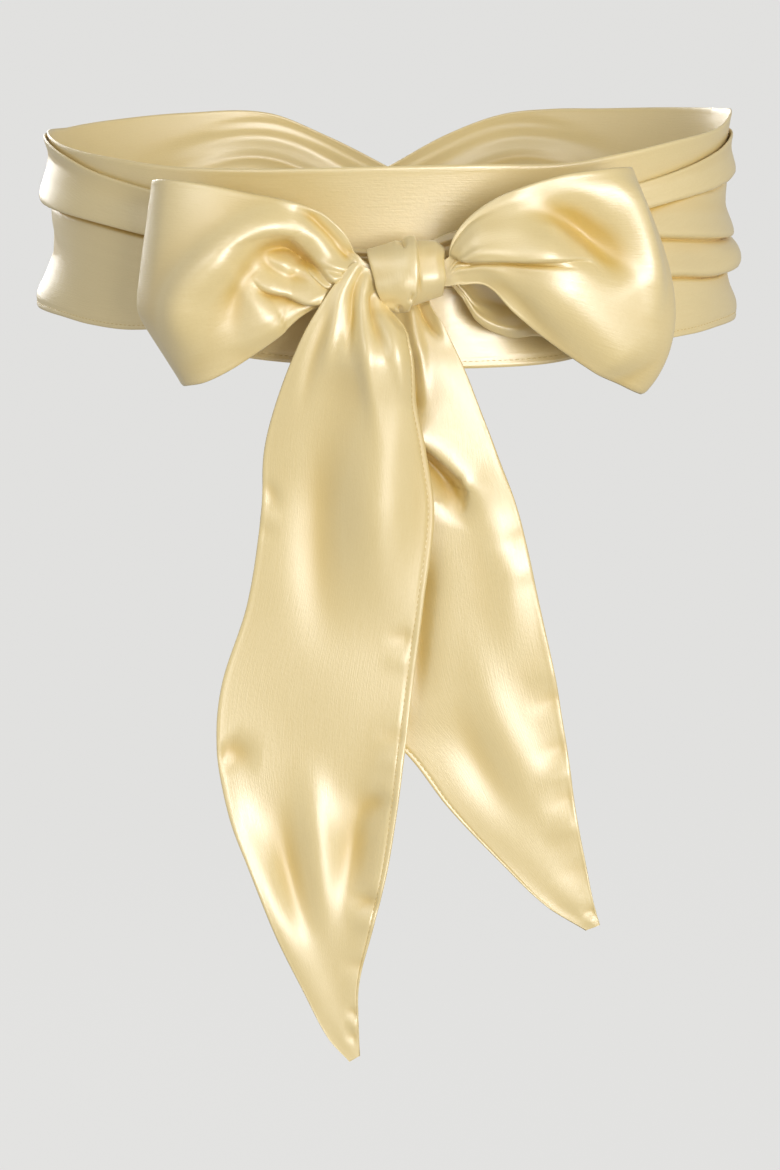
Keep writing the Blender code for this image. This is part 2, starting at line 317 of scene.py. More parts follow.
@dataclass(frozen=True)
class ThreadFinish:
    """Sewing thread in the satin's colour, a little darker and without its sheen."""

    name: str = "thread"
    colour: tuple[float, float, float, float] = (0.70, 0.53, 0.22, 1.0)
    roughness: float = 0.55

    def material(self) -> bpy.types.Material:
        """Build the material.

        Returns:
            The material.
        """
        made = bpy.data.materials.new(self.name)
        made.use_nodes = True
        tree = made.node_tree
        shader = tree.nodes["Principled BSDF"]
        shader.inputs["Roughness"].default_value = self.roughness
        place = tree.nodes.new("ShaderNodeTexCoord")
        twist = tree.nodes.new("ShaderNodeTexNoise")
        twist.inputs["Scale"].default_value = 1500.0
        tree.links.new(place.outputs["Object"], twist.inputs["Vector"])
        tint = tree.nodes.new("ShaderNodeMix")
        tint.data_type = "RGBA"
        tint.inputs["A"].default_value = tuple(0.86 * part for part in self.colour[:3]) + (1.0,)
        tint.inputs["B"].default_value = self.colour
        tree.links.new(twist.outputs["Fac"], tint.inputs["Factor"])
        tree.links.new(tint.outputs["Result"], shader.inputs["Base Color"])
        return made


@dataclass(frozen=True)
class SatinFinish:
    """Pale gold satin: a soft broad sheen over a fine lengthwise grain, with painted shade deep in its folds.

    Attributes:
        name: The material's name.
        colour: Linear colour of the face.
        deep: Linear colour of the faint darker slubs.
        roughness: Roughness of the face.
        painted_shade_colour: Linear colour painted deep inside a fold as shade, standing in for the gold light
            that the satin throws on itself there.
        grain_per_metre: Threads across one metre.
        slub_length: Length of a slub in metres.
        grain_depth: Strength of the grain.
    """

    name: str = "satin"
    colour: tuple[float, float, float, float] = (0.78, 0.615, 0.27, 1.0)
    deep: tuple[float, float, float, float] = (0.745, 0.575, 0.23, 1.0)
    roughness: float = 0.42
    painted_shade_colour: tuple[float, float, float, float] = (0.62, 0.41, 0.065, 1.0)
    grain_per_metre: float = 2600.0
    slub_length: float = 0.012
    grain_depth: float = 0.17

    def material(self) -> bpy.types.Material:
        """Build the material.

        Returns:
            The material.
        """
        made = bpy.data.materials.new(self.name)
        made.use_nodes = True
        tree = made.node_tree
        shader = tree.nodes["Principled BSDF"]
        shader.inputs["Metallic"].default_value = 0.0
        shader.inputs["IOR"].default_value = 2.0
        shader.inputs["Specular IOR Level"].default_value = 0.8
        shader.inputs["Anisotropic"].default_value = 0.55
        shader.inputs["Coat Weight"].default_value = 0.45
        shader.inputs["Coat Roughness"].default_value = 0.36
        shader.inputs["Coat IOR"].default_value = 1.7
        shader.inputs["Sheen Weight"].default_value = 0.12
        shader.inputs["Sheen Roughness"].default_value = 0.5
        shader.inputs["Sheen Tint"].default_value = (1.0, 0.95, 0.8, 1.0)

        grid = tree.nodes.new("ShaderNodeUVMap")
        grid.uv_map = UV_NAME
        threads = tree.nodes.new("ShaderNodeMapping")
        threads.inputs["Scale"].default_value = (1 / self.slub_length, self.grain_per_metre, 1.0)
        tree.links.new(grid.outputs["UV"], threads.inputs["Vector"])
        slubs = tree.nodes.new("ShaderNodeTexNoise")
        slubs.noise_dimensions = "2D"
        slubs.inputs["Scale"].default_value = 1.0
        slubs.inputs["Detail"].default_value = 3.0
        tree.links.new(threads.outputs["Vector"], slubs.inputs["Vector"])

        weave = tree.nodes.new("ShaderNodeMapping")
        weave.inputs["Scale"].default_value = (750.0, 1300.0, 1.0)
        tree.links.new(grid.outputs["UV"], weave.inputs["Vector"])
        mottle = tree.nodes.new("ShaderNodeTexNoise")
        mottle.noise_dimensions = "2D"
        mottle.inputs["Scale"].default_value = 1.0
        mottle.inputs["Detail"].default_value = 2.0
        mottle.inputs["Roughness"].default_value = 0.7
        tree.links.new(weave.outputs["Vector"], mottle.inputs["Vector"])
        grains = tree.nodes.new("ShaderNodeMath")
        grains.operation = "ADD"
        tree.links.new(slubs.outputs["Fac"], grains.inputs[0])
        tree.links.new(mottle.outputs["Fac"], grains.inputs[1])
        spread = tree.nodes.new("ShaderNodeMapRange")
        spread.inputs["From Min"].default_value = 0.6
        spread.inputs["From Max"].default_value = 1.4
        tree.links.new(grains.outputs["Value"], spread.inputs["Value"])

        tint = tree.nodes.new("ShaderNodeMix")
        tint.data_type = "RGBA"
        tint.inputs["A"].default_value = self.deep
        tint.inputs["B"].default_value = self.colour
        tree.links.new(spread.outputs["Result"], tint.inputs["Factor"])
        # Painted shade: deep inside a fold the face's colour is mixed towards the gold shade colour, by the
        # mesh's painted shade attribute.
        inside = tree.nodes.new("ShaderNodeAttribute")
        inside.attribute_name = PAINTED_SHADE_ATTRIBUTE
        painted_shade_mix = tree.nodes.new("ShaderNodeMix")
        painted_shade_mix.data_type = "RGBA"
        painted_shade_mix.inputs["B"].default_value = self.painted_shade_colour
        tree.links.new(inside.outputs["Fac"], painted_shade_mix.inputs["Factor"])
        tree.links.new(tint.outputs["Result"], painted_shade_mix.inputs["A"])
        tree.links.new(painted_shade_mix.outputs["Result"], shader.inputs["Base Color"])

        gloss = tree.nodes.new("ShaderNodeMapRange")
        gloss.inputs["To Min"].default_value = self.roughness - 0.06
        gloss.inputs["To Max"].default_value = self.roughness + 0.07
        tree.links.new(spread.outputs["Result"], gloss.inputs["Value"])
        duller = tree.nodes.new("ShaderNodeMath")
        duller.operation = "MULTIPLY_ADD"
        duller.inputs[1].default_value = 0.25
        tree.links.new(inside.outputs["Fac"], duller.inputs[0])
        tree.links.new(gloss.outputs["Result"], duller.inputs[2])
        tree.links.new(duller.outputs["Value"], shader.inputs["Roughness"])

        grain = tree.nodes.new("ShaderNodeBump")
        grain.inputs["Strength"].default_value = self.grain_depth
        grain.inputs["Distance"].default_value = 0.0003
        tree.links.new(grains.outputs["Value"], grain.inputs["Height"])
        tree.links.new(grain.outputs["Normal"], shader.inputs["Normal"])

        lie = tree.nodes.new("ShaderNodeTangent")
        lie.direction_type = "UV_MAP"
        lie.uv_map = UV_NAME
        tree.links.new(lie.outputs["Tangent"], shader.inputs["Tangent"])
        return made


@dataclass
class ClothStretch:
    """One stretch of the strip, as a fine sheet with its folds.

    Attributes:
        name: The piece's name.
        node: The solid it stands for.
        rows: Its section table.
        span: First and last place along it.
        cells: Cells of its grid, along and across.
        cut: Flat width and length of what shows, in metres.
        held: How the cloth is held.
        rests_on: What it lies on or hangs from.
        outward: 1 or -1, for the side that lift goes to.
        folds: Its folds.
        gathers: Its gathers.
        drift: Height in millimetres of its slow unevenness.
        seed: Seed of that unevenness.
        wall: Thickness in millimetres.
        crowd_at: Share across where the grid's lines crowd, or None for an even grid.
        stitch_rows: Its rows of topstitching.
        deepest: How far in millimetres a valley may go in before it meets the layer below.
    """

    name: str
    node: str
    rows: tuple[tuple[float, ...], ...]
    span: tuple[float, float]
    cells: tuple[int, int]
    cut: tuple[float, float]
    held: Held
    rests_on: tuple[str, ...]
    outward: float = 1.0
    folds: tuple[Fold, ...] = ()
    gathers: tuple[Gather, ...] = ()
    drift: float = 0.3
    seed: int = 1
    wall: float = 0.7
    crowd_at: float | None = None
    stitch_rows: tuple[StitchRow, ...] = ()
    deepest: float = 30.0
    table: SectionTable = field(init=False, repr=False)
    points: np.ndarray = field(init=False, repr=False)
    painted_shade_share: np.ndarray = field(init=False, repr=False)

    def __post_init__(self) -> None:
        """Draw the curves through the section table."""
        self.table = SectionTable(self.rows)

    def columns(self) -> np.ndarray:
        """Shares across the cloth of the grid's lines.

        Returns:
            The shares, from 0 to 1.
        """
        even = np.linspace(0.0, 1.0, self.cells[1] + 1)
        if self.crowd_at is None:
            return even
        turn = 2 * np.pi
        wave = np.sin(turn * (even - self.crowd_at)) + np.sin(turn * self.crowd_at)
        return even - 0.6 / turn * wave

    def surface(self, at: np.ndarray, across: np.ndarray) -> np.ndarray:
        """Points of the unfolded surface, in millimetres.

        Args:
            at: Places along the cloth.
            across: Shares across it.

        Returns:
            The points.
        """
        raise NotImplementedError

    def plan(self, at: np.ndarray, across: np.ndarray, points: np.ndarray) -> np.ndarray:
        """Where points lie on the plan that folds are drawn on, as seen from the front.

        Args:
            at: Places along the cloth.
            across: Shares across it.
            points: The points themselves.

        Returns:
            Two lengths in millimetres, along the last axis.
        """
        return points[..., [0, 2]]

    def plan_axes(self, points: np.ndarray) -> tuple[np.ndarray, np.ndarray]:
        """The plan's two directions at some points.

        Args:
            points: Points of the surface.

        Returns:
            The two directions.
        """
        sideways = np.broadcast_to(np.array([1.0, 0.0, 0.0]), points.shape)
        upwards = np.broadcast_to(np.array([0.0, 0.0, 1.0]), points.shape)
        return sideways, upwards

    def on_ply(self, ply: Ply, at: np.ndarray, points: np.ndarray) -> np.ndarray:
        """Share of a fold that each point takes, by the layer it is on.

        Args:
            ply: The fold's layer.
            at: Places along the cloth.
            points: The points.

        Returns:
            0 to 1 for each point.
        """
        return np.ones(at.shape)

    def fold_moves(
        self, fold: Fold, at: np.ndarray, plan: np.ndarray, points: np.ndarray
    ) -> tuple[np.ndarray, np.ndarray]:
        """What one fold does to the surface.

        Args:
            fold: The fold.
            at: Places along the cloth.
            plan: Where the points lie on the plan.
            points: The points.

        Returns:
            The lift, and the move on the plan.
        """
        share, aside, right = FoldPath(fold.path).measure(plan)
        grown = eased(share / max(fold.grow, 1e-3)) * eased((1 - share) / max(fold.fade, 1e-3))
        inside = (share > 0) & (share < 1)
        near = aside / fold.width
        if fold.kind is FoldKind.ROLL:
            form = np.exp(-(near**2))
        elif fold.kind is FoldKind.CREASE:
            form = np.exp(-1.6 * (np.sqrt(near**2 + 0.04) - 0.2))
        else:
            form = np.where(near < 0, np.exp(-(near**2)), np.exp(-((near / fold.step) ** 2)))
        strength = np.where(inside, grown * self.on_ply(fold.ply, at, points), 0.0)
        pushed = np.exp(-(near**2))
        return fold.lift * form * strength, right * (fold.lean * pushed * strength)[..., None]

    def gather_lift(self, gather: Gather, at: np.ndarray, across: np.ndarray) -> np.ndarray:
        """Lift of the pleats that run from one gather.

        Args:
            gather: The gather.
            at: Places along the cloth.
            across: Shares across it.

        Returns:
            The lift.
        """
        chance = np.random.RandomState(gather.seed)
        gone = (at - gather.at) / gather.reach
        depth = np.where(gone >= 0, eased(gone / 0.12) * np.exp(-3.0 * gone), 0.0)
        swing = sum(
            chance.uniform(0.1, 0.3) / k * np.sin(2 * np.pi * (k * across + chance.uniform(0, 1)))
            for k in (1, 2, 3)
        )
        phase = 2 * np.pi * (gather.count * (across + swing * 0.4) + 0.35 * np.sin(4 * gone))
        uneven = 0.65 + 0.35 * np.sin(2 * np.pi * (1.7 * across + chance.uniform(0, 1)))
        return gather.lift * depth * uneven * np.sin(phase)

    def drift_lift(self, at: np.ndarray, across: np.ndarray) -> np.ndarray:
        """Slow unevenness of the lie of the cloth.

        Args:
            at: Places along the cloth.
            across: Shares across it.

        Returns:
            The lift.
        """
        chance = np.random.RandomState(self.seed)
        u = (at - self.span[0]) / (self.span[1] - self.span[0])
        total = np.zeros(at.shape)
        for _ in range(7):
            along = chance.uniform(0.6, 4.5)
            over = chance.uniform(-1.4, 1.4)
            total += np.sin(2 * np.pi * (along * u + over * across + chance.uniform(0, 1)))
        ends = eased(u / END_SHARE) * eased((1 - u) / END_SHARE)
        return self.drift * total * ends / 2.6

    def facing(self, at: np.ndarray) -> np.ndarray:
        """1 where the stretch's outer side is the one that shows, -1 where the inner side does."""
        return np.ones(at.shape)

    def blurred(self, lift: np.ndarray) -> np.ndarray:
        """A lift over the grid with its narrow forms smoothed away.

        Args:
            lift: The lift at the grid's places.

        Returns:
            The smoothed lift.
        """
        for axis, length in enumerate((self.cut[1], self.cut[0])):
            spread = PAINTED_SHADE_BLUR / (length / MM / self.cells[axis])
            reach = int(math.ceil(2.5 * spread))
            weights = np.exp(-((np.arange(-reach, reach + 1) / spread) ** 2))
            weights /= weights.sum()
            lift = np.apply_along_axis(
                lambda line: np.convolve(np.pad(line, reach, "edge"), weights, "valid"), axis, lift
            )
        return lift

    def shape(self, at: np.ndarray, across: np.ndarray) -> None:
        """Work out the folded surface, and how much painted shade each of its points gets by how deep inside a
        fold it lies.

        Args:
            at: Places along the cloth.
            across: Shares across it.
        """
        points = self.surface(at, across)
        along = np.gradient(points, axis=0)
        over = np.gradient(points, axis=1)
        out = unit(np.cross(along, over)) * self.outward
        plan = self.plan(at, across, points)
        lift = self.drift_lift(at, across)
        moved = np.zeros(plan.shape)
        for fold in self.folds:
            fold_lift, fold_move = self.fold_moves(fold, at, plan, points)
            lift = lift + fold_lift
            moved = moved + fold_move
        for gather in self.gathers:
            lift = lift + self.gather_lift(gather, at, across)
        lift = np.maximum(lift, -self.deepest)
        # Painted shade: a point gets the gold shade colour by how far it lies below its blurred surroundings,
        # on the side that shows.
        self.painted_shade_share = np.clip((self.blurred(lift) - lift) * self.facing(at) / PAINTED_SHADE_DEPTH, 0.0, 1.0)
        width = self.cut[0] / MM
        for row in self.stitch_rows:
            lift = lift - 0.3 * np.exp(-(((across - row.share(width)) * width / 0.7) ** 2))
        first, second = self.plan_axes(points)
        self.points = points + out * lift[..., None] + first * moved[..., :1] + second * moved[..., 1:]

    def build(self, finish: bpy.types.Material) -> bpy.types.Object:
        """Make the piece, dress it and place it on the frame.

        Args:
            finish: Its material.

        Returns:
            The piece.
        """
        mesh = self.grid_mesh()
        piece = bpy.data.objects.new(self.name, mesh)
        bpy.context.scene.collection.objects.link(piece)
        mesh.materials.append(finish)
        self.add_wall(piece)
        mesh.shade_smooth()
        self.sharpen_ends(mesh)
        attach(piece, "root")
        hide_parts(self.node)
        LOG.info("%s: %d faces before its wall", self.name, len(mesh.polygons))
        return piece

    def declare(self, piece: bpy.types.Object, extras: tuple[bpy.types.Object, ...] = ()) -> None:
        """Does nothing: what the sheet was cut to and how it is held are not said here.

        Args:
            piece: The sheet. Not used.
            extras: Pieces sewn on it. Not used.
        """

    def grid_mesh(self) -> bpy.types.Mesh:
        """The folded surface as a grid with its cloth coordinates.

        Returns:
            The mesh.
        """
        mesh = bpy.data.meshes.new(self.name)
        shaped = bmesh.new()
        bmesh.ops.create_grid(
            shaped, x_segments=self.cells[0], y_segments=self.cells[1], size=0.5, calc_uvs=True
        )
        shaped.to_mesh(mesh)
        shaped.free()
        flat = np.empty(len(mesh.vertices) * 3)
        mesh.vertices.foreach_get("co", flat)
        flat = flat.reshape(-1, 3)
        u = flat[:, 0] + 0.5
        v = flat[:, 1] + 0.5
        i = np.rint(u * self.cells[0]).astype(int)
        j = np.rint(v * self.cells[1]).astype(int)
        along = np.linspace(self.span[0], self.span[1], self.cells[0] + 1)
        at, across = np.meshgrid(along, self.columns(), indexing="ij")
        self.shape(at, across)
        mesh.vertices.foreach_set("co", (self.points[i, j] * MM).reshape(-1))
        # The painted fold shade goes on the mesh, for the satin's colour to read.
        inside = mesh.attributes.new(PAINTED_SHADE_ATTRIBUTE, "FLOAT", "POINT")
        inside.data.foreach_set("value", self.painted_shade_share[i, j])
        self.lay_coordinates(mesh, u, self.columns()[j])
        mesh.update()
        return mesh

    def sharpen_ends(self, mesh: bpy.types.Mesh) -> None:
        """Keep the shading flat up to both ends, where the next stretch carries on.

        Args:
            mesh: The mesh.
        """
        length = self.cut[1]
        placed = np.empty(len(mesh.loops) * 2)
        mesh.uv_layers[UV_NAME].data.foreach_get("uv", placed)
        corners = np.empty(len(mesh.loops), dtype=int)
        mesh.loops.foreach_get("vertex_index", corners)
        gone = np.zeros(len(mesh.vertices))
        gone[corners] = placed[0::2] / length
        at_end = (gone < 1e-4) | (gone > 1 - 1e-4)
        pairs = np.empty(len(mesh.edges) * 2, dtype=int)
        mesh.edges.foreach_get("vertices", pairs)
        mesh.edges.foreach_set("use_edge_sharp", at_end[pairs].reshape(-1, 2).all(axis=1))

    def stitches(self, finish: bpy.types.Material) -> bpy.types.Object:
        """Make the stretch's stitches, on its outer side.

        Args:
            finish: The thread's material.

        Returns:
            The stitches, as one piece.
        """
        mesh = bpy.data.meshes.new(f"{self.name}_stitches")
        sewn = bmesh.new()
        outs = unit(np.cross(np.gradient(self.points, axis=0), np.gradient(self.points, axis=1)))
        columns = self.columns()
        for row in self.stitch_rows:
            j = int(np.argmin(np.abs(columns - row.share(self.cut[0] / MM))))
            line = self.points[:, j]
            legs = np.linalg.norm(np.diff(line, axis=0), axis=1)
            gone = np.concatenate([[0.0], np.cumsum(legs)])
            for start in np.arange(row.pitch, gone[-1] - row.pitch, row.pitch):
                ends = (start, start + row.stitch)
                low, high = (np.array([np.interp(e, gone, line[:, k]) for k in range(3)]) for e in ends)
                out = np.array([np.interp(start, gone, outs[:, j, k]) for k in range(3)]) * self.outward
                self.add_stitch(sewn, low, high, out, row.thread)
        sewn.to_mesh(mesh)
        sewn.free()
        piece = bpy.data.objects.new(mesh.name, mesh)
        bpy.context.scene.collection.objects.link(piece)
        mesh.materials.append(finish)
        mesh.shade_smooth()
        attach(piece, "root")
        return piece

    def add_stitch(
        self, sewn: bmesh.types.BMesh, low: np.ndarray, high: np.ndarray, out: np.ndarray, thread: float
    ) -> None:
        """Add one stitch, a small long bead lying on the cloth.

        Args:
            sewn: The stitches so far.
            low: One end, in millimetres.
            high: The other end.
            out: The way that the cloth faces.
            thread: Width of the thread.
        """
        along = Vector((high - low) / 2)
        facing = Vector(unit(out))
        aside = along.cross(facing).normalized() * thread / 2
        rise = facing * thread / 2
        centre = Vector((low + high) / 2) + facing * (self.wall * 0.58)
        placed = Matrix((along, aside, rise)).transposed().to_4x4()
        placed.translation = centre
        bmesh.ops.create_uvsphere(
            sewn, u_segments=6, v_segments=4, radius=1.0,
            matrix=Matrix.Scale(MM, 4) @ placed,
        )

    def lay_coordinates(self, mesh: bpy.types.Mesh, u: np.ndarray, v: np.ndarray) -> None:
        """Give the mesh its cloth coordinates, in metres of the cut.

        Args:
            mesh: The mesh.
            u: Shares along the cloth, by vertex.
            v: Shares across it, by vertex.
        """
        layer = mesh.uv_layers[0] if mesh.uv_layers else mesh.uv_layers.new()
        layer.name = UV_NAME
        corners = np.empty(len(mesh.loops), dtype=int)
        mesh.loops.foreach_get("vertex_index", corners)
        placed = np.stack([u[corners] * self.cut[1], v[corners] * self.cut[0]], axis=-1)
        layer.data.foreach_set("uv", placed.reshape(-1))

    def add_wall(self, piece: bpy.types.Object) -> None:
        """Give the sheet its thickness, fuller along the two bagged-out edges.

        Args:
            piece: The sheet.
        """
        self.mark_hems(piece)
        wall = piece.modifiers.new("wall", "SOLIDIFY")
        wall.thickness = self.wall * MM * 1.6
        wall.offset = 0.0
        wall.vertex_group = HEM_GROUP

    def mark_hems(self, piece: bpy.types.Object) -> None:
        """Weigh the vertices by how thick the wall is there.

        Args:
            piece: The sheet.
        """
        group = piece.vertex_groups.new(name=HEM_GROUP)
        over = self.columns()
        width = self.cut[0] / MM
        from_edge = np.minimum(over, 1 - over) * width
        full = np.exp(-(((from_edge - 1.1) / 0.9) ** 2))
        weights = np.clip(0.66 + 0.2 * full - 0.35 * np.exp(-from_edge / 0.35), 0.1, 1.0)
        uv = piece.data.uv_layers[UV_NAME]
        loops = len(piece.data.loops)
        placed = np.empty(loops * 2)
        uv.data.foreach_get("uv", placed)
        corners = np.empty(loops, dtype=int)
        piece.data.loops.foreach_get("vertex_index", corners)
        column_of = np.zeros(len(piece.data.vertices), dtype=int)
        shares = placed.reshape(-1, 2)[:, 1] / self.cut[0]
        column_of[corners] = np.searchsorted(over, shares - 1e-4)
        for column in range(len(over)):
            members = np.nonzero(column_of == column)[0].tolist()
            group.add(members, float(weights[column]), "REPLACE")


@dataclass
class WaistStretch(ClothStretch):
    """A stretch that lies round the waist.

    Attributes:
        turning: 1 where the table's angles run towards +X, else -1.
    """

    turning: float = 1.0

    def surface(self, at: np.ndarray, across: np.ndarray) -> np.ndarray:
        """Points round the waist, in millimetres.

        Args:
            at: Angles from the front.
            across: Shares across the cloth.

        Returns:
            The points.
        """
        bottom, top, out = np.moveaxis(self.table.sample(at), -1, 0)
        height = bottom + (top - bottom) * across
        out = out + FLARE * ((height - NARROWEST) / FLARE_HEIGHT) ** 2
        angle = np.radians(at * self.turning)
        x = (HALF_WIDTH + out) * np.sin(angle)
        y = -(HALF_DEPTH + out) * np.cos(angle)
        return np.stack([x, y, height], axis=-1)

    def plan(self, at: np.ndarray, across: np.ndarray, points: np.ndarray) -> np.ndarray:
        """Angle travelled as a length, and height.

        Args:
            at: Angles from the front.
            across: Shares across the cloth.
            points: The points.

        Returns:
            Two lengths in millimetres, along the last axis.
        """
        return np.stack([at * WAIST_MM_PER_DEGREE, points[..., 2]], axis=-1)

    def plan_axes(self, points: np.ndarray) -> tuple[np.ndarray, np.ndarray]:
        """The directions round the waist and up.

        Args:
            points: Points of the surface.

        Returns:
            The two directions.
        """
        upwards = np.broadcast_to(np.array([0.0, 0.0, 1.0]), points.shape)
        outwards = unit(points * np.array([1.0, 1.0, 0.0]))
        return np.cross(outwards, upwards) * -self.turning, upwards


@dataclass
class BowStretch(ClothStretch):
    """A loop or tail of the bow.

    Attributes:
        side: 1 or -1, for the side that reach pushes to.
        skew: Where on the line across reach is greatest, 1 for its middle.
        corner: Share across where the far edge has a soft corner instead, or 0 for none.
    """

    side: float = 1.0
    skew: float = 1.0
    corner: float = 0.0

    def surface(self, at: np.ndarray, across: np.ndarray) -> np.ndarray:
        """Points of the loop or tail, in millimetres.

        Args:
            at: Places along the cloth.
            across: Shares across it.

        Returns:
            The points.
        """
        x0, z0, x1, z1, depth, belly, reach = np.moveaxis(self.table.sample(at), -1, 0)
        pushed = np.sin(np.pi * np.clip(across, 0.0, 1.0) ** self.skew)
        if self.corner:
            sides = np.stack([across / self.corner, (1 - across) / (1 - self.corner)])
            pushed = -np.logaddexp(*(-sides * CORNER_SHARPNESS)) / CORNER_SHARPNESS
        x = x0 + (x1 - x0) * across + self.side * reach * pushed
        y = depth + belly * 4 * across * (1 - across)
        z = z0 + (z1 - z0) * across
        return np.stack([x, y, z], axis=-1)


@dataclass
class BowLoop(BowStretch):
    """A loop, doubled back on itself at its far fold."""

    far_fold: float = 0.5

    def facing(self, at: np.ndarray) -> np.ndarray:
        """1 on the front ply and -1 on the back ply, whose inner side shows."""
        return np.where(at < self.far_fold, 1.0, -1.0)

    def on_ply(self, ply: Ply, at: np.ndarray, points: np.ndarray) -> np.ndarray:
        """Share of a fold by the side of the far fold that a point is on.

        Args:
            ply: The fold's layer.
            at: Places along the cloth.
            points: The points.

        Returns:
            0 to 1 for each point.
        """
        front = eased((self.far_fold - at) / 0.05)
        if ply is Ply.FRONT:
            return front
        if ply is Ply.BACK:
            return eased((at - self.far_fold) / 0.05)
        return np.ones(at.shape)


@dataclass
class Knot(ClothStretch):
    """The short tube of cloth turned round the necks of the loops."""

    def surface(self, at: np.ndarray, across: np.ndarray) -> np.ndarray:
        """Points of the tube, in millimetres.

        Args:
            at: Turns round the tube from its top, 0 to 1.
            across: Shares across it from left to right.

        Returns:
            The points.
        """
        top_x, bottom_x, half_height, centre_z, half_depth = np.moveaxis(
            self.table.sample(across), -1, 0
        )
        up = np.cos(2 * np.pi * at)
        front = np.sin(2 * np.pi * at)
        power = KNOT_SQUARENESS
        size = (np.abs(up) ** power + np.abs(front) ** power) ** (-1 / power)
        x = bottom_x + (top_x - bottom_x) * (1 + up * size) / 2
        y = KNOT_Y - half_depth * front * size
        z = centre_z + half_height * up * size
        return np.stack([x, y, z], axis=-1)

    def on_ply(self, ply: Ply, at: np.ndarray, points: np.ndarray) -> np.ndarray:
        """Share of a fold by how far round to the front a point is.

        Args:
            ply: The fold's layer.
            at: Turns round the tube.
            points: The points.

        Returns:
            0 to 1 for each point.
        """
        front = eased((np.sin(2 * np.pi * at) + 0.25) / 0.3)
        return 1 - front if ply is Ply.BACK else front


class Studio:
    """The floor, the lights and the camera."""

    FOCAL_PIXELS = 5429.0
    PHOTO_HEIGHT = 1170.0
    SENSOR_HEIGHT = 24.0
    ELEVATION = 9.4
    DISTANCE = 2.09
    TARGET = (0.0008, -0.110, -0.125)
    FLOOR_DROP = 0.9
    FLOOR_RADIUS = 40.0
    FLOOR_TONE = (0.745, 0.742, 0.73, 1.0)
    WORLD_BELOW = (0.40, 0.39, 0.38, 1.0)
    WORLD_LEVEL = (0.48, 0.485, 0.495, 1.0)
    WORLD_ABOVE = (0.36, 0.365, 0.375, 1.0)

    def build(self) -> None:
        """Make everything round the object."""
        self.add_floor()
        self.add_world()
        self.add_panel("front panel", (1.05, -2.3, 0.3), (1.3, 1.2), 43.0)
        self.add_panel("high panel", (-1.3, -1.8, 1.3), (0.8, 0.8), 8.0)
        self.add_panel("back panel", (-1.1, 2.3, 0.6), (1.4, 1.4), 42.0)
        self.add_camera()

    def add_floor(self) -> None:
        """A wide pale floor well below the object, which throws no light on it."""
        mesh = bpy.data.meshes.new("floor")
        shaped = bmesh.new()
        bmesh.ops.create_circle(
            shaped, cap_ends=True, segments=96, radius=self.FLOOR_RADIUS
        )
        for corner in shaped.verts:
            corner.co.z -= self.FLOOR_DROP
        shaped.to_mesh(mesh)
        shaped.free()
        floor = bpy.data.objects.new("floor", mesh)
        bpy.context.scene.collection.objects.link(floor)
        paint = bpy.data.materials.new("floor paint")
        paint.use_nodes = True
        shader = paint.node_tree.nodes["Principled BSDF"]
        shader.inputs["Base Color"].default_value = (0.02, 0.02, 0.02, 1.0)
        shader.inputs["Roughness"].default_value = 1.0
        shader.inputs["Specular IOR Level"].default_value = 0.0
        shader.inputs["Emission Color"].default_value = self.FLOOR_TONE
        shader.inputs["Emission Strength"].default_value = 1.0
        mesh.materials.append(paint)
        floor.visible_diffuse = False
        floor.visible_glossy = False

    def add_world(self) -> None:
        """A surround that is brightest at eye level and dimmer above and below."""
        world = bpy.data.worlds.new("studio")
        world.use_nodes = True
        tree = world.node_tree
        surround = tree.nodes["Background"]
        direction = tree.nodes.new("ShaderNodeTexCoord")
        parts = tree.nodes.new("ShaderNodeSeparateXYZ")
        height = tree.nodes.new("ShaderNodeMapRange")
        height.inputs["From Min"].default_value = -1.0
        shade = tree.nodes.new("ShaderNodeValToRGB")
        low, high = shade.color_ramp.elements
        low.position, low.color = 0.0, self.WORLD_BELOW
        high.position, high.color = 1.0, self.WORLD_ABOVE
        level = shade.color_ramp.elements.new(0.52)
        level.color = self.WORLD_LEVEL
        tree.links.new(direction.outputs["Generated"], parts.inputs["Vector"])
        tree.links.new(parts.outputs["Z"], height.inputs["Value"])
        tree.links.new(height.outputs["Result"], shade.inputs["Fac"])
        tree.links.new(shade.outputs["Color"], surround.inputs["Color"])
        bpy.context.scene.world = world

    def add_panel(
        self,
        name: str,
        place: tuple[float, float, float],
        size: tuple[float, float],
        power: float,
    ) -> None:
        """A wide soft panel of light aimed at the bow, out of the camera's sight.

        Args:
            name: Its name.
            place: Where it stands, in metres.
            size: Its width and height in metres.
            power: Its power in watts.
        """
        lamp = bpy.data.lights.new(name, "AREA")
        lamp.shape = "RECTANGLE"
        lamp.size, lamp.size_y = size
        lamp.energy = power
        lamp.color = (1.0, 0.985, 0.965)
        light = bpy.data.objects.new(name, lamp)
        bpy.context.scene.collection.objects.link(light)
        light.location = place
        light.visible_camera = False
        towards = Vector((0.0, -0.1, -0.05)) - Vector(place)
        light.rotation_euler = towards.to_track_quat("-Z", "Y").to_euler()

    def add_camera(self) -> None:
        """The camera at the photograph's angle."""
        lens = bpy.data.cameras.new("camera")
        lens.sensor_fit = "VERTICAL"
        lens.sensor_height = self.SENSOR_HEIGHT
        lens.lens = self.SENSOR_HEIGHT * self.FOCAL_PIXELS / self.PHOTO_HEIGHT
        lens.clip_start = 0.1
        lens.clip_end = 200.0
        camera = bpy.data.objects.new("camera", lens)
        bpy.context.scene.collection.objects.link(camera)
        rise = math.radians(self.ELEVATION)
        back = Vector((0.0, -math.cos(rise), math.sin(rise)))
        camera.location = Vector(self.TARGET) + back * self.DISTANCE
        camera.rotation_euler = (-back).to_track_quat("-Z", "Y").to_euler()
        bpy.context.scene.camera = camera


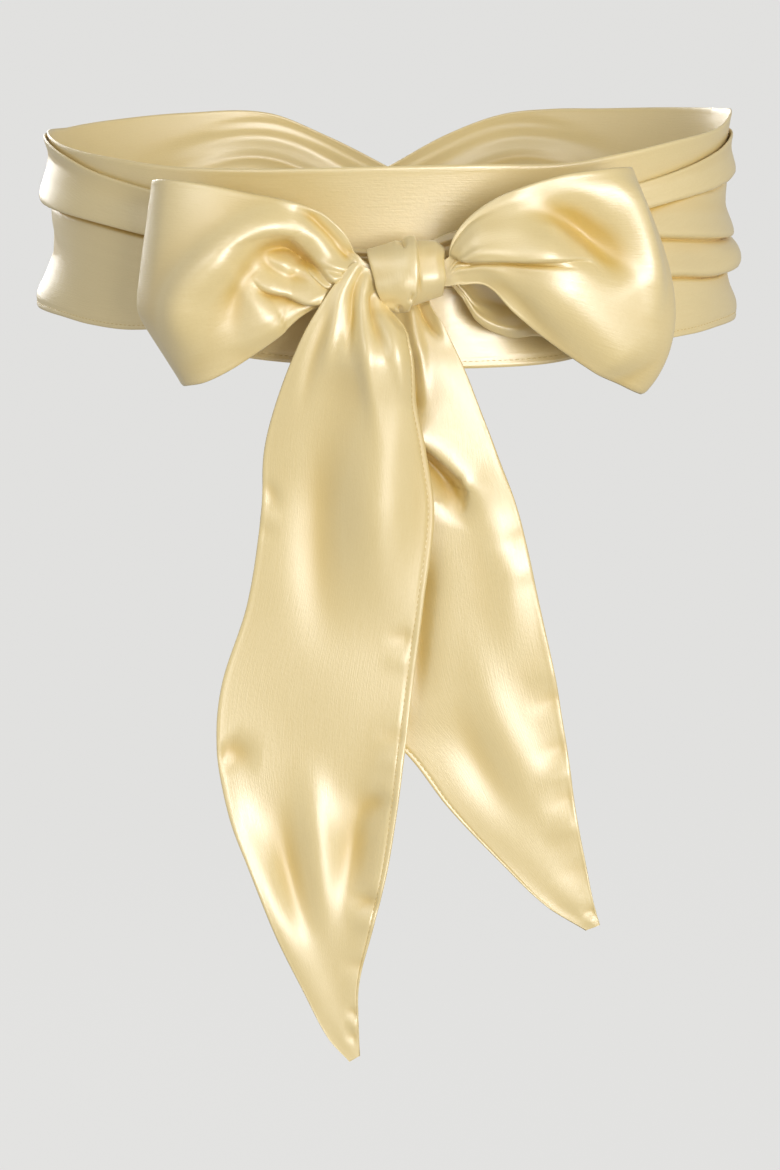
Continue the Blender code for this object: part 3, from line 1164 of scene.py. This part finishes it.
FIRST_PASS = (
    BandRow(-106, -22, 40, INNER),
    BandRow(-88, -24, 41, INNER),
    BandRow(-70, -25, 37.5, INNER),
    BandRow(-50, -27, 34.8, INNER),
    BandRow(-38, -32, 33.3, INNER),
    BandRow(-24, -38.8, 33.6, INNER),
    BandRow(0, -41.6, 35.4, INNER),
    BandRow(16, -42.2, 35.8, INNER),
    BandRow(30, -40.6, 35.4, INNER),
    BandRow(42, -34, 38.2, INNER),
    BandRow(56, -28, 41.8, INNER),
    BandRow(74, -27, 44.8, INNER),
    BandRow(88, -26, 49.5, INNER),
    BandRow(106, -25, 48, INNER),
)

WRAP_RIGHT = (
    BandRow(106, -22, 40, INNER),
    BandRow(124, -16, 41, INNER),
    BandRow(142, -1, 42, INNER),
    BandRow(158, 3, 41, INNER),
    BandRow(169, -6, 31, INNER),
    BandRow(180, -18, 18, INNER),
    BandRow(191, -32, 4, INNER),
    BandRow(202, -40, -4, INNER),
    BandRow(212, -42, -5, 1.4),
    BandRow(222, -41, -3, OUTER),
    BandRow(236, -38, 18, OUTER),
    BandRow(252, -35.5, 38, OUTER),
    BandRow(272, -34, 41, OUTER),
    BandRow(289, -33.7, 35.5, OUTER),
    BandRow(301, -34.6, 31, OUTER),
    BandRow(314, -34.5, 26.2, OUTER),
    BandRow(326, -28, 22, OUTER),
    BandRow(338, -18, 15.5, OUTER),
    BandRow(349, -12, 10.5, OUTER),
    BandRow(356.6, -12, 3, OUTER),
)

WRAP_LEFT = (
    BandRow(106, -25, 48, INNER),
    BandRow(124, -16, 46, INNER),
    BandRow(140, 0, 44, INNER),
    BandRow(150, 3, 43, 1.2),
    BandRow(160, 2, 40, OUTER),
    BandRow(170, -6, 31, OUTER),
    BandRow(180, -18, 18, OUTER),
    BandRow(191, -32, 5, OUTER),
    BandRow(203, -40, -1, OUTER),
    BandRow(218, -40, 2, OUTER),
    BandRow(234, -35, 20, OUTER),
    BandRow(252, -31, 36, OUTER),
    BandRow(272, -29.4, 39.6, OUTER),
    BandRow(290, -29.4, 34.6, OUTER),
    BandRow(302, -30.6, 29.6, OUTER),
    BandRow(314, -30.7, 25.4, OUTER),
    BandRow(328, -26.5, 20, OUTER),
    BandRow(340, -17.5, 11, OUTER),
    BandRow(352, -12, 4.5, OUTER),
    BandRow(362.9, -12, 2, OUTER),
)

LEFT_LOOP = (
    ClothRow(0.000, -3.0, -12.5, -3.0, -1.5, -118.2, -0.5, 0),
    ClothRow(0.045, -9.6, -12.8, -9.6, 1.6, -118.5, -0.8, 0),
    ClothRow(0.090, -16.5, -13.2, -15.6, 11.0, -119.2, -1.6, 0),
    ClothRow(0.140, -26.0, -15.0, -25.0, 20.0, -120.0, -3, 0),
    ClothRow(0.220, -40.0, -25.0, -38.5, 24.4, -121.2, -5, 0),
    ClothRow(0.300, -54.0, -36.5, -52.5, 27.2, -121.6, -6.4, 1),
    ClothRow(0.380, -68.0, -44.6, -68.0, 30.2, -119.4, -6.4, 5),
    ClothRow(0.450, -76.5, -47.5, -83.0, 31.4, -112.0, -4.4, 11),
    ClothRow(0.500, -78.8, -48.6, -89.6, 30.2, -101.0, 0, 14),
    ClothRow(0.550, -77.0, -47.0, -84.0, 29.0, -95.0, 1, 12),
    ClothRow(0.620, -68.0, -42.6, -70.0, 26.5, -93.4, 0, 5),
    ClothRow(0.750, -45.0, -27.0, -45.0, 19.0, -99.4, 0, 0),
    ClothRow(0.880, -22.0, -14.0, -22.0, 7.0, -105.6, 0, 0),
    ClothRow(0.945, -11.0, -12.6, -11.0, 1.0, -108.4, 0, 0),
    ClothRow(1.000, -3.0, -12.0, -3.0, -2.0, -109.2, 0, 0),
)

RIGHT_LOOP = (
    ClothRow(0.000, 17.0, -8.5, 17.0, 1.0, -119.2, -0.4, 0),
    ClothRow(0.045, 23.2, -8.3, 23.2, 2.8, -119.3, -0.6, 0),
    ClothRow(0.080, 28.0, -7.8, 26.6, 12.0, -119.8, -1.2, 0),
    ClothRow(0.140, 37.0, -8.5, 36.0, 22.0, -120.8, -3, 0),
    ClothRow(0.220, 48.0, -18.5, 50.0, 29.2, -121.4, -4, 0),
    ClothRow(0.300, 61.5, -29.4, 66.0, 34.0, -120.2, -7, 0),
    ClothRow(0.380, 77.0, -40.0, 81.0, 35.6, -116.2, -7, 4),
    ClothRow(0.450, 91.0, -48.5, 90.0, 35.8, -108.8, -5, 10),
    ClothRow(0.500, 97.2, -52.0, 93.0, 35.0, -101.0, 0, 14),
    ClothRow(0.550, 93.0, -49.5, 90.0, 34.0, -94.5, 1, 12),
    ClothRow(0.620, 80.0, -43.0, 80.0, 31.0, -91.0, 0, 5),
    ClothRow(0.720, 61.0, -31.0, 62.0, 26.0, -95.4, 0, 0),
    ClothRow(0.800, 46.0, -30.0, 46.0, 21.0, -99.2, 0, 0),
    ClothRow(0.880, 33.0, -23.0, 33.0, 12.0, -103.4, 0, 0),
    ClothRow(0.940, 25.5, -10.5, 25.5, 3.6, -107.2, 0, 0),
    ClothRow(0.960, 22.8, -8.6, 22.8, 2.2, -108.4, 0, 0),
    ClothRow(1.000, 17.0, -8.0, 17.0, 1.0, -109.2, 0, 0),
)

KNOT = (
    KnotRow(0.00, -8.2, -0.9, 11.8, -7.2, 8.8),
    KnotRow(0.12, -4.6, 2.0, 11.9, -6.2, 9.9),
    KnotRow(0.35, 3.5, 5.6, 12.4, -4.8, 10.7),
    KnotRow(0.60, 10.5, 10.0, 12.2, -4.0, 10.8),
    KnotRow(0.85, 18.0, 17.5, 10.8, -2.8, 9.8),
    KnotRow(1.00, 21.6, 21.0, 8.6, -3.3, 7.8),
)

LEFT_TAIL = (
    ClothRow(0, -4.4, -3.5, -1.8, -11.5, -120.4, -0.4, 0),
    ClothRow(5, -9.6, -0.4, -0.6, -15.5, -120.5, -0.5, 0),
    ClothRow(10, -13.0, 0.4, 2.0, -20.6, -120.9, -0.9, 0),
    ClothRow(16, -16.6, -2.6, 4.2, -25.4, -122.6, -1.5, 0),
    ClothRow(26, -23.0, -11.0, 5.8, -31.0, -125.2, -2.5, 0),
    ClothRow(40, -32.2, -26.5, 9.0, -39.4, -125.4, -3, 0),
    ClothRow(60, -41.5, -49.5, 10.0, -53.0, -122.0, -3, 0),
    ClothRow(80, -47.2, -71.0, 14.2, -71.5, -119.8, -3, 0),
    ClothRow(105, -48.6, -96.0, 17.6, -96.0, -118.0, -2, 0),
    ClothRow(135, -54.0, -131.0, 13.8, -130.0, -117.0, -1, 0),
    ClothRow(165, -64.0, -163.0, 10.0, -161.0, -116.5, 0, 0),
    ClothRow(190, -66.0, -188.0, 6.6, -190.0, -116.5, 1, 0),
    ClothRow(213, -61.7, -213.5, 4.0, -211.0, -117.0, 1, 0),
    ClothRow(236, -54.0, -235.0, 0.0, -236.0, -118.0, 1, 0),
    ClothRow(260, -44.0, -259.5, -6.0, -259.0, -119.0, 0, 0),
    ClothRow(282, -33.5, -282.0, -11.2, -281.0, -119.0, 0, 0),
    ClothRow(301, -23.5, -302.0, -11.3, -300.5, -118.0, 0, 0),
    ClothRow(312, -15.0, -311.8, -11.2, -309.5, -117.5, 0, 0),
)

RIGHT_TAIL = (
    ClothRow(0, 3.5, -9.5, 14.5, -8.5, -101.8, 0, 0),
    ClothRow(10, 1.5, -18.5, 16.5, -17.5, -102.2, 0, 0),
    ClothRow(20, -1.0, -28.0, 22.6, -28.0, -105.0, -1, 0),
    ClothRow(34, -4.0, -41.5, 29.2, -41.0, -108.5, -2, 0),
    ClothRow(55, -9.0, -61.0, 36.8, -60.5, -110.5, -2, 0),
    ClothRow(80, -15.0, -84.0, 45.8, -83.5, -110.5, -2, 0),
    ClothRow(102, -19.0, -102.0, 51.6, -102.0, -110.5, -2, 0),
    ClothRow(130, -21.5, -131.0, 58.0, -131.0, -110.5, -1, 0),
    ClothRow(160, -19.0, -161.0, 64.7, -161.0, -110.5, 0, 0),
    ClothRow(174, -11.0, -175.0, 67.0, -175.0, -110.5, 0, 0),
    ClothRow(192, 7.4, -191.5, 69.8, -192.0, -110.5, 0, 0),
    ClothRow(214, 23.9, -213.0, 72.8, -213.5, -111.0, 0, 0),
    ClothRow(236, 44.7, -235.0, 77.0, -235.5, -111.5, 0, 0),
    ClothRow(252, 61.0, -250.8, 80.2, -251.0, -112.0, 0, 0),
    ClothRow(263, 77.0, -260.6, 82.4, -258.5, -112.0, 0, 0),
)


def waist_place(angle: float, height: float) -> tuple[float, float]:
    """A place on the plan of a stretch round the waist.

    Args:
        angle: Degrees travelled.
        height: Height in millimetres.

    Returns:
        The place.
    """
    return angle * WAIST_MM_PER_DEGREE, height


def edge_puckers(
    places: tuple[tuple[float, float, float], ...], inward: float, length: float, width: float
) -> tuple[Fold, ...]:
    """Short puckers that run in from a stitched edge.

    Args:
        places: Across and up of each pucker's start, and its lift, all in millimetres.
        inward: Degrees from +X of the way that they run.
        length: How far they run.
        width: Their half width.

    Returns:
        The folds.
    """
    heading = math.radians(inward)
    step = (length * math.cos(heading), length * math.sin(heading))
    return tuple(
        Fold(((x - step[0] * 0.3, z - step[1] * 0.3), (x + step[0], z + step[1])), width, lift, grow=0.35,
             fade=0.7)
        for x, z, lift in places
    )


BACK_FOLDS = (
    Fold((waist_place(128, 23), waist_place(158, 31), waist_place(180, 8), waist_place(202, -12),
          waist_place(222, -12), waist_place(246, 10)), 3.8, 1.7),
    Fold((waist_place(134, 6), waist_place(158, 13), waist_place(180, -8), waist_place(202, -31),
          waist_place(222, -32), waist_place(240, -27)), 3.6, 1.4),
    Fold((waist_place(138, 17), waist_place(158, 22), waist_place(180, -1), waist_place(202, -22),
          waist_place(220, -23)), 2.4, -1.3),
    Fold((waist_place(142, 35), waist_place(160, 36), waist_place(178, 17), waist_place(196, -7)), 2.0, 0.8),
)

FIRST_PASS_FOLDS = (
    Fold(((24.0, -13.0), (30.0, -22.0), (38.0, -29.0)), 5.5, -1.6, grow=0.3, fade=0.5),
    Fold(((12.0, -20.0), (24.0, -21.0), (46.0, -23.0)), 11.0, 1.4, grow=0.3, fade=0.3),
    Fold(((42.0, -20.0), (50.0, -29.0), (66.0, -33.0)), 7.0, -1.2, grow=0.4, fade=0.5),
)

WRAP_RIGHT_FOLDS = (
    *BACK_FOLDS,
    Fold((waist_place(120, 4), waist_place(150, 22), waist_place(186, 2)), 7, 0.6),
    Fold((waist_place(204, -26), waist_place(236, -22), waist_place(268, -10)), 5, 1.8),
    Fold((waist_place(206, -12), waist_place(236, 4), waist_place(270, 22)), 5, 1.8),
    Fold(
        (waist_place(236, 5), waist_place(262, 6), waist_place(278, 3.8), waist_place(324, 11.5)),
        5.0, 3.8, FoldKind.TUCK, lean=3.2, grow=0.3, fade=0.1, step=0.16,
    ),
    Fold(
        (waist_place(236, 2.6), waist_place(262, 3.6), waist_place(278, 1.3), waist_place(324, 9)),
        1.5, -2.4, FoldKind.CREASE, grow=0.3, fade=0.1,
    ),
    Fold(
        (waist_place(248, -6), waist_place(285, -10.2), waist_place(305, -7.6), waist_place(324, -6)),
        4.5, 3.0, FoldKind.TUCK, lean=2.6, grow=0.3, fade=0.1, step=0.16,
    ),
    Fold(
        (waist_place(262, -11), waist_place(285, -12.7), waist_place(305, -10), waist_place(324, -8.4)),
        1.5, -2.0, FoldKind.CREASE, grow=0.4, fade=0.1,
    ),
    Fold((waist_place(248, -3), waist_place(269, -5), waist_place(284, -6), waist_place(300, -4)), 5.5, 4.4,
         grow=0.4, fade=0.5),
    Fold((waist_place(244, -26), waist_place(270, -28), waist_place(290, -28)), 7.0, 2.6, grow=0.5, fade=0.5),
    Fold(
        (waist_place(258, 34), waist_place(276, 28.5), waist_place(290, 25), waist_place(304, 22),
         waist_place(322, 17)),
        3.6, 3.0, FoldKind.TUCK, lean=2.6, grow=0.3, fade=0.15, step=0.16,
    ),
    Fold(
        (waist_place(262, 31), waist_place(276, 26), waist_place(290, 22.6), waist_place(304, 19.6),
         waist_place(322, 14.6)),
        1.4, -1.9, FoldKind.CREASE, grow=0.3, fade=0.15,
    ),
    Fold((waist_place(274, 22), waist_place(286, 20.4), waist_place(298, 20.6)), 1.3, -1.5, FoldKind.CREASE,
         grow=0.3, fade=0.4),
)

WRAP_LEFT_FOLDS = (
    *BACK_FOLDS,
    Fold((waist_place(156, 14), waist_place(200, -24), waist_place(256, -8)), 6, 1.8),
    Fold((waist_place(156, 30), waist_place(200, -8), waist_place(244, 22)), 6, 1.8),
    Fold(
        (
            waist_place(236, 18),
            waist_place(262, 20.5),
            waist_place(279, 18),
            waist_place(300, 15.6),
            waist_place(317, 11.5),
            waist_place(346, 3),
        ),
        6.0, 4.6, FoldKind.TUCK, lean=4.0, grow=0.2, fade=0.2, step=0.14,
    ),
    Fold(
        (
            waist_place(240, 15.4),
            waist_place(262, 17.6),
            waist_place(279, 15.1),
            waist_place(300, 12.6),
            waist_place(317, 8.5),
            waist_place(346, 0),
        ),
        1.6, -2.6, FoldKind.CREASE, grow=0.25, fade=0.3,
    ),
    Fold((waist_place(246, -2), waist_place(270, -3), waist_place(296, -9)), 7, -2.2, grow=0.4, fade=0.5),
    Fold((waist_place(244, -22), waist_place(272, -25), waist_place(300, -26)), 8, 3.6, grow=0.5, fade=0.5),
    Fold((waist_place(262, 33), waist_place(280, 31), waist_place(300, 27)), 3.5, -1.4, grow=0.5, fade=0.5),
)

LEFT_LOOP_FOLDS = (
    Fold(
        ((-68, -38), (-76, -28), (-78, -18), (-74.0, -8), (-66.0, 0.5), (-55, 8.6), (-43.0, 15.5), (-30, 17.5)),
        8.5, 6.0, ply=Ply.FRONT, grow=0.3, fade=0.35,
    ),
    Fold(((-54.0, -12.0), (-46.0, -7.0), (-38.0, -6.0), (-28.0, -9.0)), 13.0, -5.0, ply=Ply.FRONT, grow=0.4,
         fade=0.3),
    Fold(
        ((-62, -5), (-56, 1.5), (-48, 6.6), (-39, 8.6), (-32, 6.4), (-26, 1.0), (-19, -5.6)),
        6.5, -10.5, ply=Ply.FRONT, grow=0.55, fade=0.25,
    ),
    Fold(
        ((-62, 5.0), (-53.0, 11.4), (-43.6, 15.4), (-36.0, 15.6), (-30.4, 12.4), (-24.0, 5.4), (-18.6, -2.4),
         (-15, -7.2)),
        6.0, 4.4, FoldKind.TUCK, lean=4.2, grow=0.5, fade=0.1, ply=Ply.FRONT, step=0.15,
    ),
    Fold(
        ((-29.5, 0.6), (-25.0, -3.4), (-18.6, -7.0)),
        2.2, 1.9, FoldKind.TUCK, lean=1.2, grow=0.4, fade=0.1, ply=Ply.FRONT, step=0.3,
    ),
    Fold(((-49.0, 5.8), (-45.0, 1.2), (-39.0, -3.4), (-31.0, -5.4), (-23.0, -7.4)), 2.4, -2.0,
         ply=Ply.FRONT, grow=0.3, fade=0.4),
    Fold(((-49.0, 8.0), (-43.5, 3.0), (-36.5, -0.6), (-28.0, -3.0), (-21.0, -6.2)), 2.6, 1.2,
         ply=Ply.FRONT, grow=0.4, fade=0.3),
    Fold(
        ((-52.0, -2.6), (-46.0, -6.8), (-38.0, -9.0), (-31.1, -11.6), (-24.5, -11.0), (-19.0, -9.4)),
        5.5, 3.8, FoldKind.TUCK, lean=2.0, grow=0.3, fade=0.2, ply=Ply.FRONT, step=0.22,
    ),
    Fold(((-50.0, -8.6), (-45.0, -10.4), (-38.0, -12.0), (-31.0, -13.8), (-24.0, -13.2)), 1.5, -1.6,
         FoldKind.CREASE, ply=Ply.FRONT, grow=0.3, fade=0.4),
    Fold(((-50.0, 7.0), (-55.5, -4.0), (-58.0, -15.0), (-60.0, -32.0)), 5.5, -3.6, ply=Ply.FRONT, grow=0.4,
         fade=0.6),
    Fold(((-28.0, -18.6), (-40.0, -20.0), (-48.0, -27.0), (-54.0, -38.0)), 8.0, 3.4, ply=Ply.FRONT, grow=0.5,
         fade=0.6),
    Fold(((-36.0, 22.4), (-29.0, 20.2), (-24.0, 16.0), (-20.0, 11.4), (-16.0, 6.4), (-11.7, 1.8)), 2.2, -3.8,
         ply=Ply.FRONT, grow=0.3, fade=0.1),
    Fold(((-44.0, 24.6), (-31.0, 22.6), (-21.0, 15.8), (-12.0, 4.6)), 1.8, 1.4, ply=Ply.FRONT),
)

RIGHT_LOOP_FOLDS = (
    Fold(
        ((22.0, 4.0), (34.9, 5.8), (50.1, 5.6), (65.2, 5.0), (76.0, 3.4), (82.0, -1.2), (85.4, -8.0)),
        5.5, 4.8, FoldKind.TUCK, lean=3.2, grow=0.12, fade=0.6, ply=Ply.FRONT, step=0.14,
    ),
    Fold(((24.0, 2.0), (35.0, 2.6), (50.0, 2.2), (63.0, 1.4), (74.0, -0.6)), 1.7, -2.0, FoldKind.CREASE,
         ply=Ply.FRONT, grow=0.15, fade=0.4),
    Fold(((24.0, 8.5), (38.7, 11.6), (52.0, 12.6), (63.6, 11.0), (72.0, 7.4)), 5.5, 2.4, ply=Ply.FRONT),
    Fold(
        ((46.0, 22.4), (59.4, 20.6), (70.9, 17.0), (80.5, 10.0), (88.9, 0.4), (95.6, -10.6)),
        8.0, -12.0, ply=Ply.FRONT, grow=0.5, fade=0.45,
    ),
    Fold(
        ((78.0, 36.0), (90.0, 26.9), (97.5, 12.0), (102.0, -4.8), (102.0, -16.0), (96.0, -24.0)),
        4.5, 3.4, ply=Ply.FRONT, grow=0.3, fade=0.4,
    ),
    Fold(((44.0, -3.0), (65.3, -14.4), (84.0, -32.0), (92.4, -45.9)), 12.0, 4.2, ply=Ply.FRONT, grow=0.4,
         fade=0.2),
    Fold(((30.0, -2.0), (44.0, -10.0), (58.0, -22.0), (70.0, -36.0)), 4.0, -1.6, ply=Ply.FRONT, grow=0.3,
         fade=0.6),
    Fold(((24.0, -11.0), (32.1, -20.0), (42.8, -26.0), (57.5, -28.0)), 3.4, -3.4, ply=Ply.BACK, grow=0.12,
         fade=0.3),
    Fold(((26.5, -5.4), (35.1, -11.4), (42.7, -17.0), (54.0, -22.0)), 4.0, 1.6, ply=Ply.BACK, grow=0.2,
         fade=0.3),
)

KNOT_FOLDS = (
    Fold(
        ((6.4, -20.0), (8.4, -13.6), (9.8, -10.6), (10.7, -5.8), (10.9, -0.3), (10.4, 5.4), (9.0, 13.0)),
        7.0, 1.8, FoldKind.TUCK, grow=0.05, fade=0.05, ply=Ply.FRONT, step=0.08,
    ),
    Fold(((2.6, 7.6), (5.4, 7.3), (7.2, 5.2)), 1.0, -1.5, ply=Ply.FRONT, grow=0.5, fade=0.3),
    Fold(((9.2, -8.6), (8.9, -11.0), (7.9, -13.2)), 0.9, -1.3, ply=Ply.FRONT, grow=0.5, fade=0.3),
    Fold(((5.6, -14.2), (3.0, -17.0)), 0.9, -1.2, ply=Ply.FRONT, grow=0.5, fade=0.3),
    Fold(((-9.0, -9.6), (-2.0, -9.0), (4.0, -7.6), (9.4, -4.0)), 3.2, 1.1, ply=Ply.FRONT, grow=0.2, fade=0.3),
    Fold(((11.6, -5.0), (17.0, -4.6), (24.0, -3.8)), 3.4, 1.2, ply=Ply.FRONT, grow=0.1, fade=0.2),
    Fold(((12.4, 5.6), (17.0, 6.4), (23.0, 6.6)), 2.0, -0.4, ply=Ply.FRONT, grow=0.3, fade=0.3),
    Fold(((-6.0, -14.6), (0.0, -14.2), (6.0, -13.0)), 1.8, -0.6, ply=Ply.FRONT, grow=0.4, fade=0.4),
)

LEFT_TAIL_FOLDS = (
    Fold(((-8.7, 2.7), (-13.6, -3.8), (-18.2, -13.3), (-21.2, -24.7), (-24.5, -44.0)), 2.6, 2.2, grow=0.1,
         fade=0.6),
    Fold(((-8.8, 0.4), (-12.2, -8.0), (-13.6, -20.9), (-14.6, -38.0)), 1.9, -2.0, grow=0.12, fade=0.55),
    Fold(((-8.2, 0.6), (-9.8, -9.5), (-9.3, -24.7), (-7.0, -43.9), (-4.5, -74.0)), 3.0, 2.2, grow=0.1,
         fade=0.6),
    Fold(((-6.8, -9.0), (-6.2, -16.0), (-5.0, -24.0), (0.0, -38.0)), 1.9, -2.0, grow=0.12, fade=0.5),
    Fold(((-5.0, -15.6), (-0.7, -26.0), (4.2, -39.0), (7.4, -56.0)), 2.8, 1.8, grow=0.15, fade=0.5),
    Fold(((-10.4, -2.0), (-20.0, -17.0), (-28.0, -34.0), (-34.0, -62.0)), 3.0, -1.2, grow=0.2, fade=0.5),
    Fold(((-5.0, -16.0), (-3.0, -36.0), (-2.0, -60.0), (-3.0, -93.0), (-2.0, -120.0), (2.0, -150.0)), 14.0,
         8.0, grow=0.15,
         fade=0.45),
    Fold(((-22.0, -50.0), (-26.0, -90.0), (-26.0, -130.0), (-20.0, -160.0)), 9.0, -2.6, grow=0.4, fade=0.5),
    Fold(((14.0, -160.0), (8.5, -190.0), (2.0, -222.0), (-4.0, -252.0), (-10.0, -280.0)), 11.0, 5.0, grow=0.4,
         fade=0.35),
    Fold(((-64.0, -196.0), (-57.0, -226.0), (-42.0, -258.0), (-27.0, -290.0)), 9.0, 3.8, grow=0.3, fade=0.4),
    Fold(((-32.0, -186.0), (-28.0, -214.0), (-25.0, -246.0), (-21.0, -282.0)), 7.0, 3.2, grow=0.4, fade=0.5),
    Fold(((-42.0, -204.0), (-38.0, -236.0), (-29.0, -266.0)), 5.5, -2.4, grow=0.5, fade=0.5),
    Fold(((-8.0, -196.0), (-12.0, -222.0), (-15.0, -254.0)), 6.0, -2.6, grow=0.5, fade=0.5),
    Fold(((2.0, -206.0), (-8.0, -211.0), (-16.0, -214.0)), 4.5, -1.6, grow=0.4, fade=0.6),
    Fold(((-2.0, -246.0), (-9.0, -248.0), (-16.0, -250.0)), 4.0, -1.2, grow=0.4, fade=0.6),
    Fold(((-66.0, -186.0), (-58.0, -190.0), (-48.0, -192.0)), 6.0, -2.2, grow=0.3, fade=0.6),
    Fold(((-50.0, -82.0), (-45.0, -87.0), (-43.0, -96.0)), 3.0, -0.9, grow=0.5, fade=0.5),
    *edge_puckers(
        ((8.0, -144, -0.7), (7.0, -154, 0.5), (5.2, -183, -0.8), (4.0, -193, 0.5), (1.5, -208, -0.6),
         (-3.8, -247, -1.0), (-5.3, -256, 0.8), (-9.0, -273, -0.8)),
        180, 11, 3.2,
    ),
    *edge_puckers(((-12.4, -292, -0.8), (-12.4, -297, 0.8), (-12.8, -302, -0.7)), 170, 5, 1.8),
    *edge_puckers(((-48.0, -97, 0.4), (-48.6, -103, -0.4), (-65.0, -196, -0.6)), 0, 8, 2.6),
)

RIGHT_TAIL_FOLDS = (
    Fold(((8.8, -16.4), (10.0, -26.7), (12.3, -38.3), (14.0, -58.0)), 2.6, 2.0, grow=0.1, fade=0.6),
    Fold(((10.7, -15.7), (14.6, -23.4), (20.9, -31.0)), 1.4, -2.0, grow=0.1, fade=0.5),
    Fold(((15.0, -14.7), (19.6, -23.7), (24.2, -34.0)), 2.4, 2.0, grow=0.1, fade=0.6),
    Fold(
        ((6.0, -58.0), (13.0, -63.0), (20.3, -69.0), (28.4, -76.0), (33.0, -81.0), (34.4, -87.5), (31.5, -94.5),
         (27.0, -99.5)),
        7.0, 5.4, FoldKind.TUCK, lean=5.0, grow=0.2, fade=0.35, step=0.12,
    ),
    Fold(((8.0, -68.0), (16.0, -76.0), (23.0, -84.5), (26.0, -92.0), (23.0, -102.0)), 6.5, -7.4, grow=0.3,
         fade=0.5),
    Fold(((9.0, -32.0), (10.3, -45.5), (10.7, -60.0)), 2.6, -1.6),
    Fold(((14.0, -106.0), (12.0, -140.0), (10.0, -178.0)), 6.0, -3.0, grow=0.3, fade=0.4),
    Fold(((30.0, -74.0), (42.0, -104.0), (48.0, -130.0), (46.0, -170.0)), 8.0, 1.8, grow=0.4, fade=0.5),
    Fold(((30.0, -130.0), (40.0, -170.0), (56.0, -205.0), (70.0, -232.0)), 9.0, 1.8, grow=0.4, fade=0.5),
    Fold(((24.0, -168.0), (36.0, -196.0), (54.0, -222.0)), 7.0, -1.4, grow=0.5, fade=0.5),
    *edge_puckers(
        ((53.0, -106, -0.7), (55.5, -118, 0.6), (66.0, -158, 0.8), (67.5, -169, -1.3), (69.0, -188, -1.0),
         (70.5, -198, 1.1), (72.0, -208, -0.9), (73.5, -219, 1.0), (77.5, -236, -0.6), (80.0, -247, 0.6)),
        200, 16, 4.0,
    ),
    *edge_puckers(((80.0, -253, -0.8), (80.0, -257, 0.6)), 190, 6, 1.8),
)


def show_log() -> None:
    """Send the pieces' lines to the output."""
    logging.basicConfig(level=logging.INFO, format="%(message)s")


def strip_stretches() -> tuple[ClothStretch, ...]:
    """Every stretch of the strip, from the waist to the tails.

    Returns:
        The stretches.
    """
    return (
        WaistStretch(
            "first_pass_satin", "band_first_pass", FIRST_PASS, (-106, 106), (240, 60), (0.078, 0.43),
            Held.STRETCHED, (), folds=FIRST_PASS_FOLDS, drift=0.25, seed=3,
            stitch_rows=(StitchRow(False),),
        ),
        WaistStretch(
            "right_wrap_satin", "wrap_right", WRAP_RIGHT, (106, 356.6), (320, 110), (0.072, 0.5),
            Held.STRETCHED, ("first_pass_satin",), outward=-1.0, folds=WRAP_RIGHT_FOLDS,
            gathers=(Gather(356.6, -60, 5, 1.0, 5),), seed=4, turning=-1.0,
            stitch_rows=(StitchRow(False),), deepest=1.3,
        ),
        WaistStretch(
            "left_wrap_satin", "wrap_left", WRAP_LEFT, (106, 362.9), (320, 110), (0.072, 0.5),
            Held.STRETCHED, ("first_pass_satin", "right_wrap_satin"), folds=WRAP_LEFT_FOLDS, crowd_at=0.75,
            gathers=(Gather(362.9, -60, 5, 1.0, 6),), seed=5, stitch_rows=(StitchRow(False),),
            deepest=1.3,
        ),
        BowLoop(
            "left_loop_satin", "loop_left", LEFT_LOOP, (0, 1), (220, 160), (0.072, 0.2),
            Held.FOLDED, ("left_wrap_satin",), outward=-1.0, folds=LEFT_LOOP_FOLDS,
            gathers=(Gather(0.05, 0.3, 5, 1.0, 7), Gather(0.95, -0.3, 5, 1.0, 8)),
            seed=6, side=-1.0, corner=0.36,
        ),
        BowLoop(
            "right_loop_satin", "loop_right", RIGHT_LOOP, (0, 1), (220, 160), (0.074, 0.2),
            Held.FOLDED, ("right_wrap_satin",), folds=RIGHT_LOOP_FOLDS,
            gathers=(Gather(0.05, 0.3, 5, 0.9, 9), Gather(0.95, -0.3, 5, 1.0, 10)),
            seed=7, side=1.0, skew=0.75,
        ),
        Knot(
            "knot_satin", "knot", KNOT, (0, 1), (180, 80), (0.031, 0.07),
            Held.FOLDED, ("left_loop_satin", "right_loop_satin"), folds=KNOT_FOLDS,
            drift=0.2, seed=8,
        ),
        BowStretch(
            "left_tail_satin", "tail_left", LEFT_TAIL, (0, 312), (250, 140), (0.068, 0.32),
            Held.HUNG, ("knot_satin",), folds=LEFT_TAIL_FOLDS, drift=0.4, seed=9,
            stitch_rows=(StitchRow(True),),
        ),
        BowStretch(
            "right_tail_satin", "tail_right", RIGHT_TAIL, (0, 263), (230, 140), (0.068, 0.27),
            Held.HUNG, ("knot_satin",), folds=RIGHT_TAIL_FOLDS, drift=0.4, seed=10,
            stitch_rows=(StitchRow(False),),
        ),
    )


def main() -> None:
    """Build the sash, then the studio round it."""
    show_log()
    bpy.context.scene.view_settings.view_transform = "Standard"
    satin = SatinFinish().material()
    thread = ThreadFinish().material()
    for stretch in strip_stretches():
        piece = stretch.build(satin)
        stretch.declare(piece, (stretch.stitches(thread),) if stretch.stitch_rows else ())
    Studio().build()


if __name__ == "__main__":
    main()
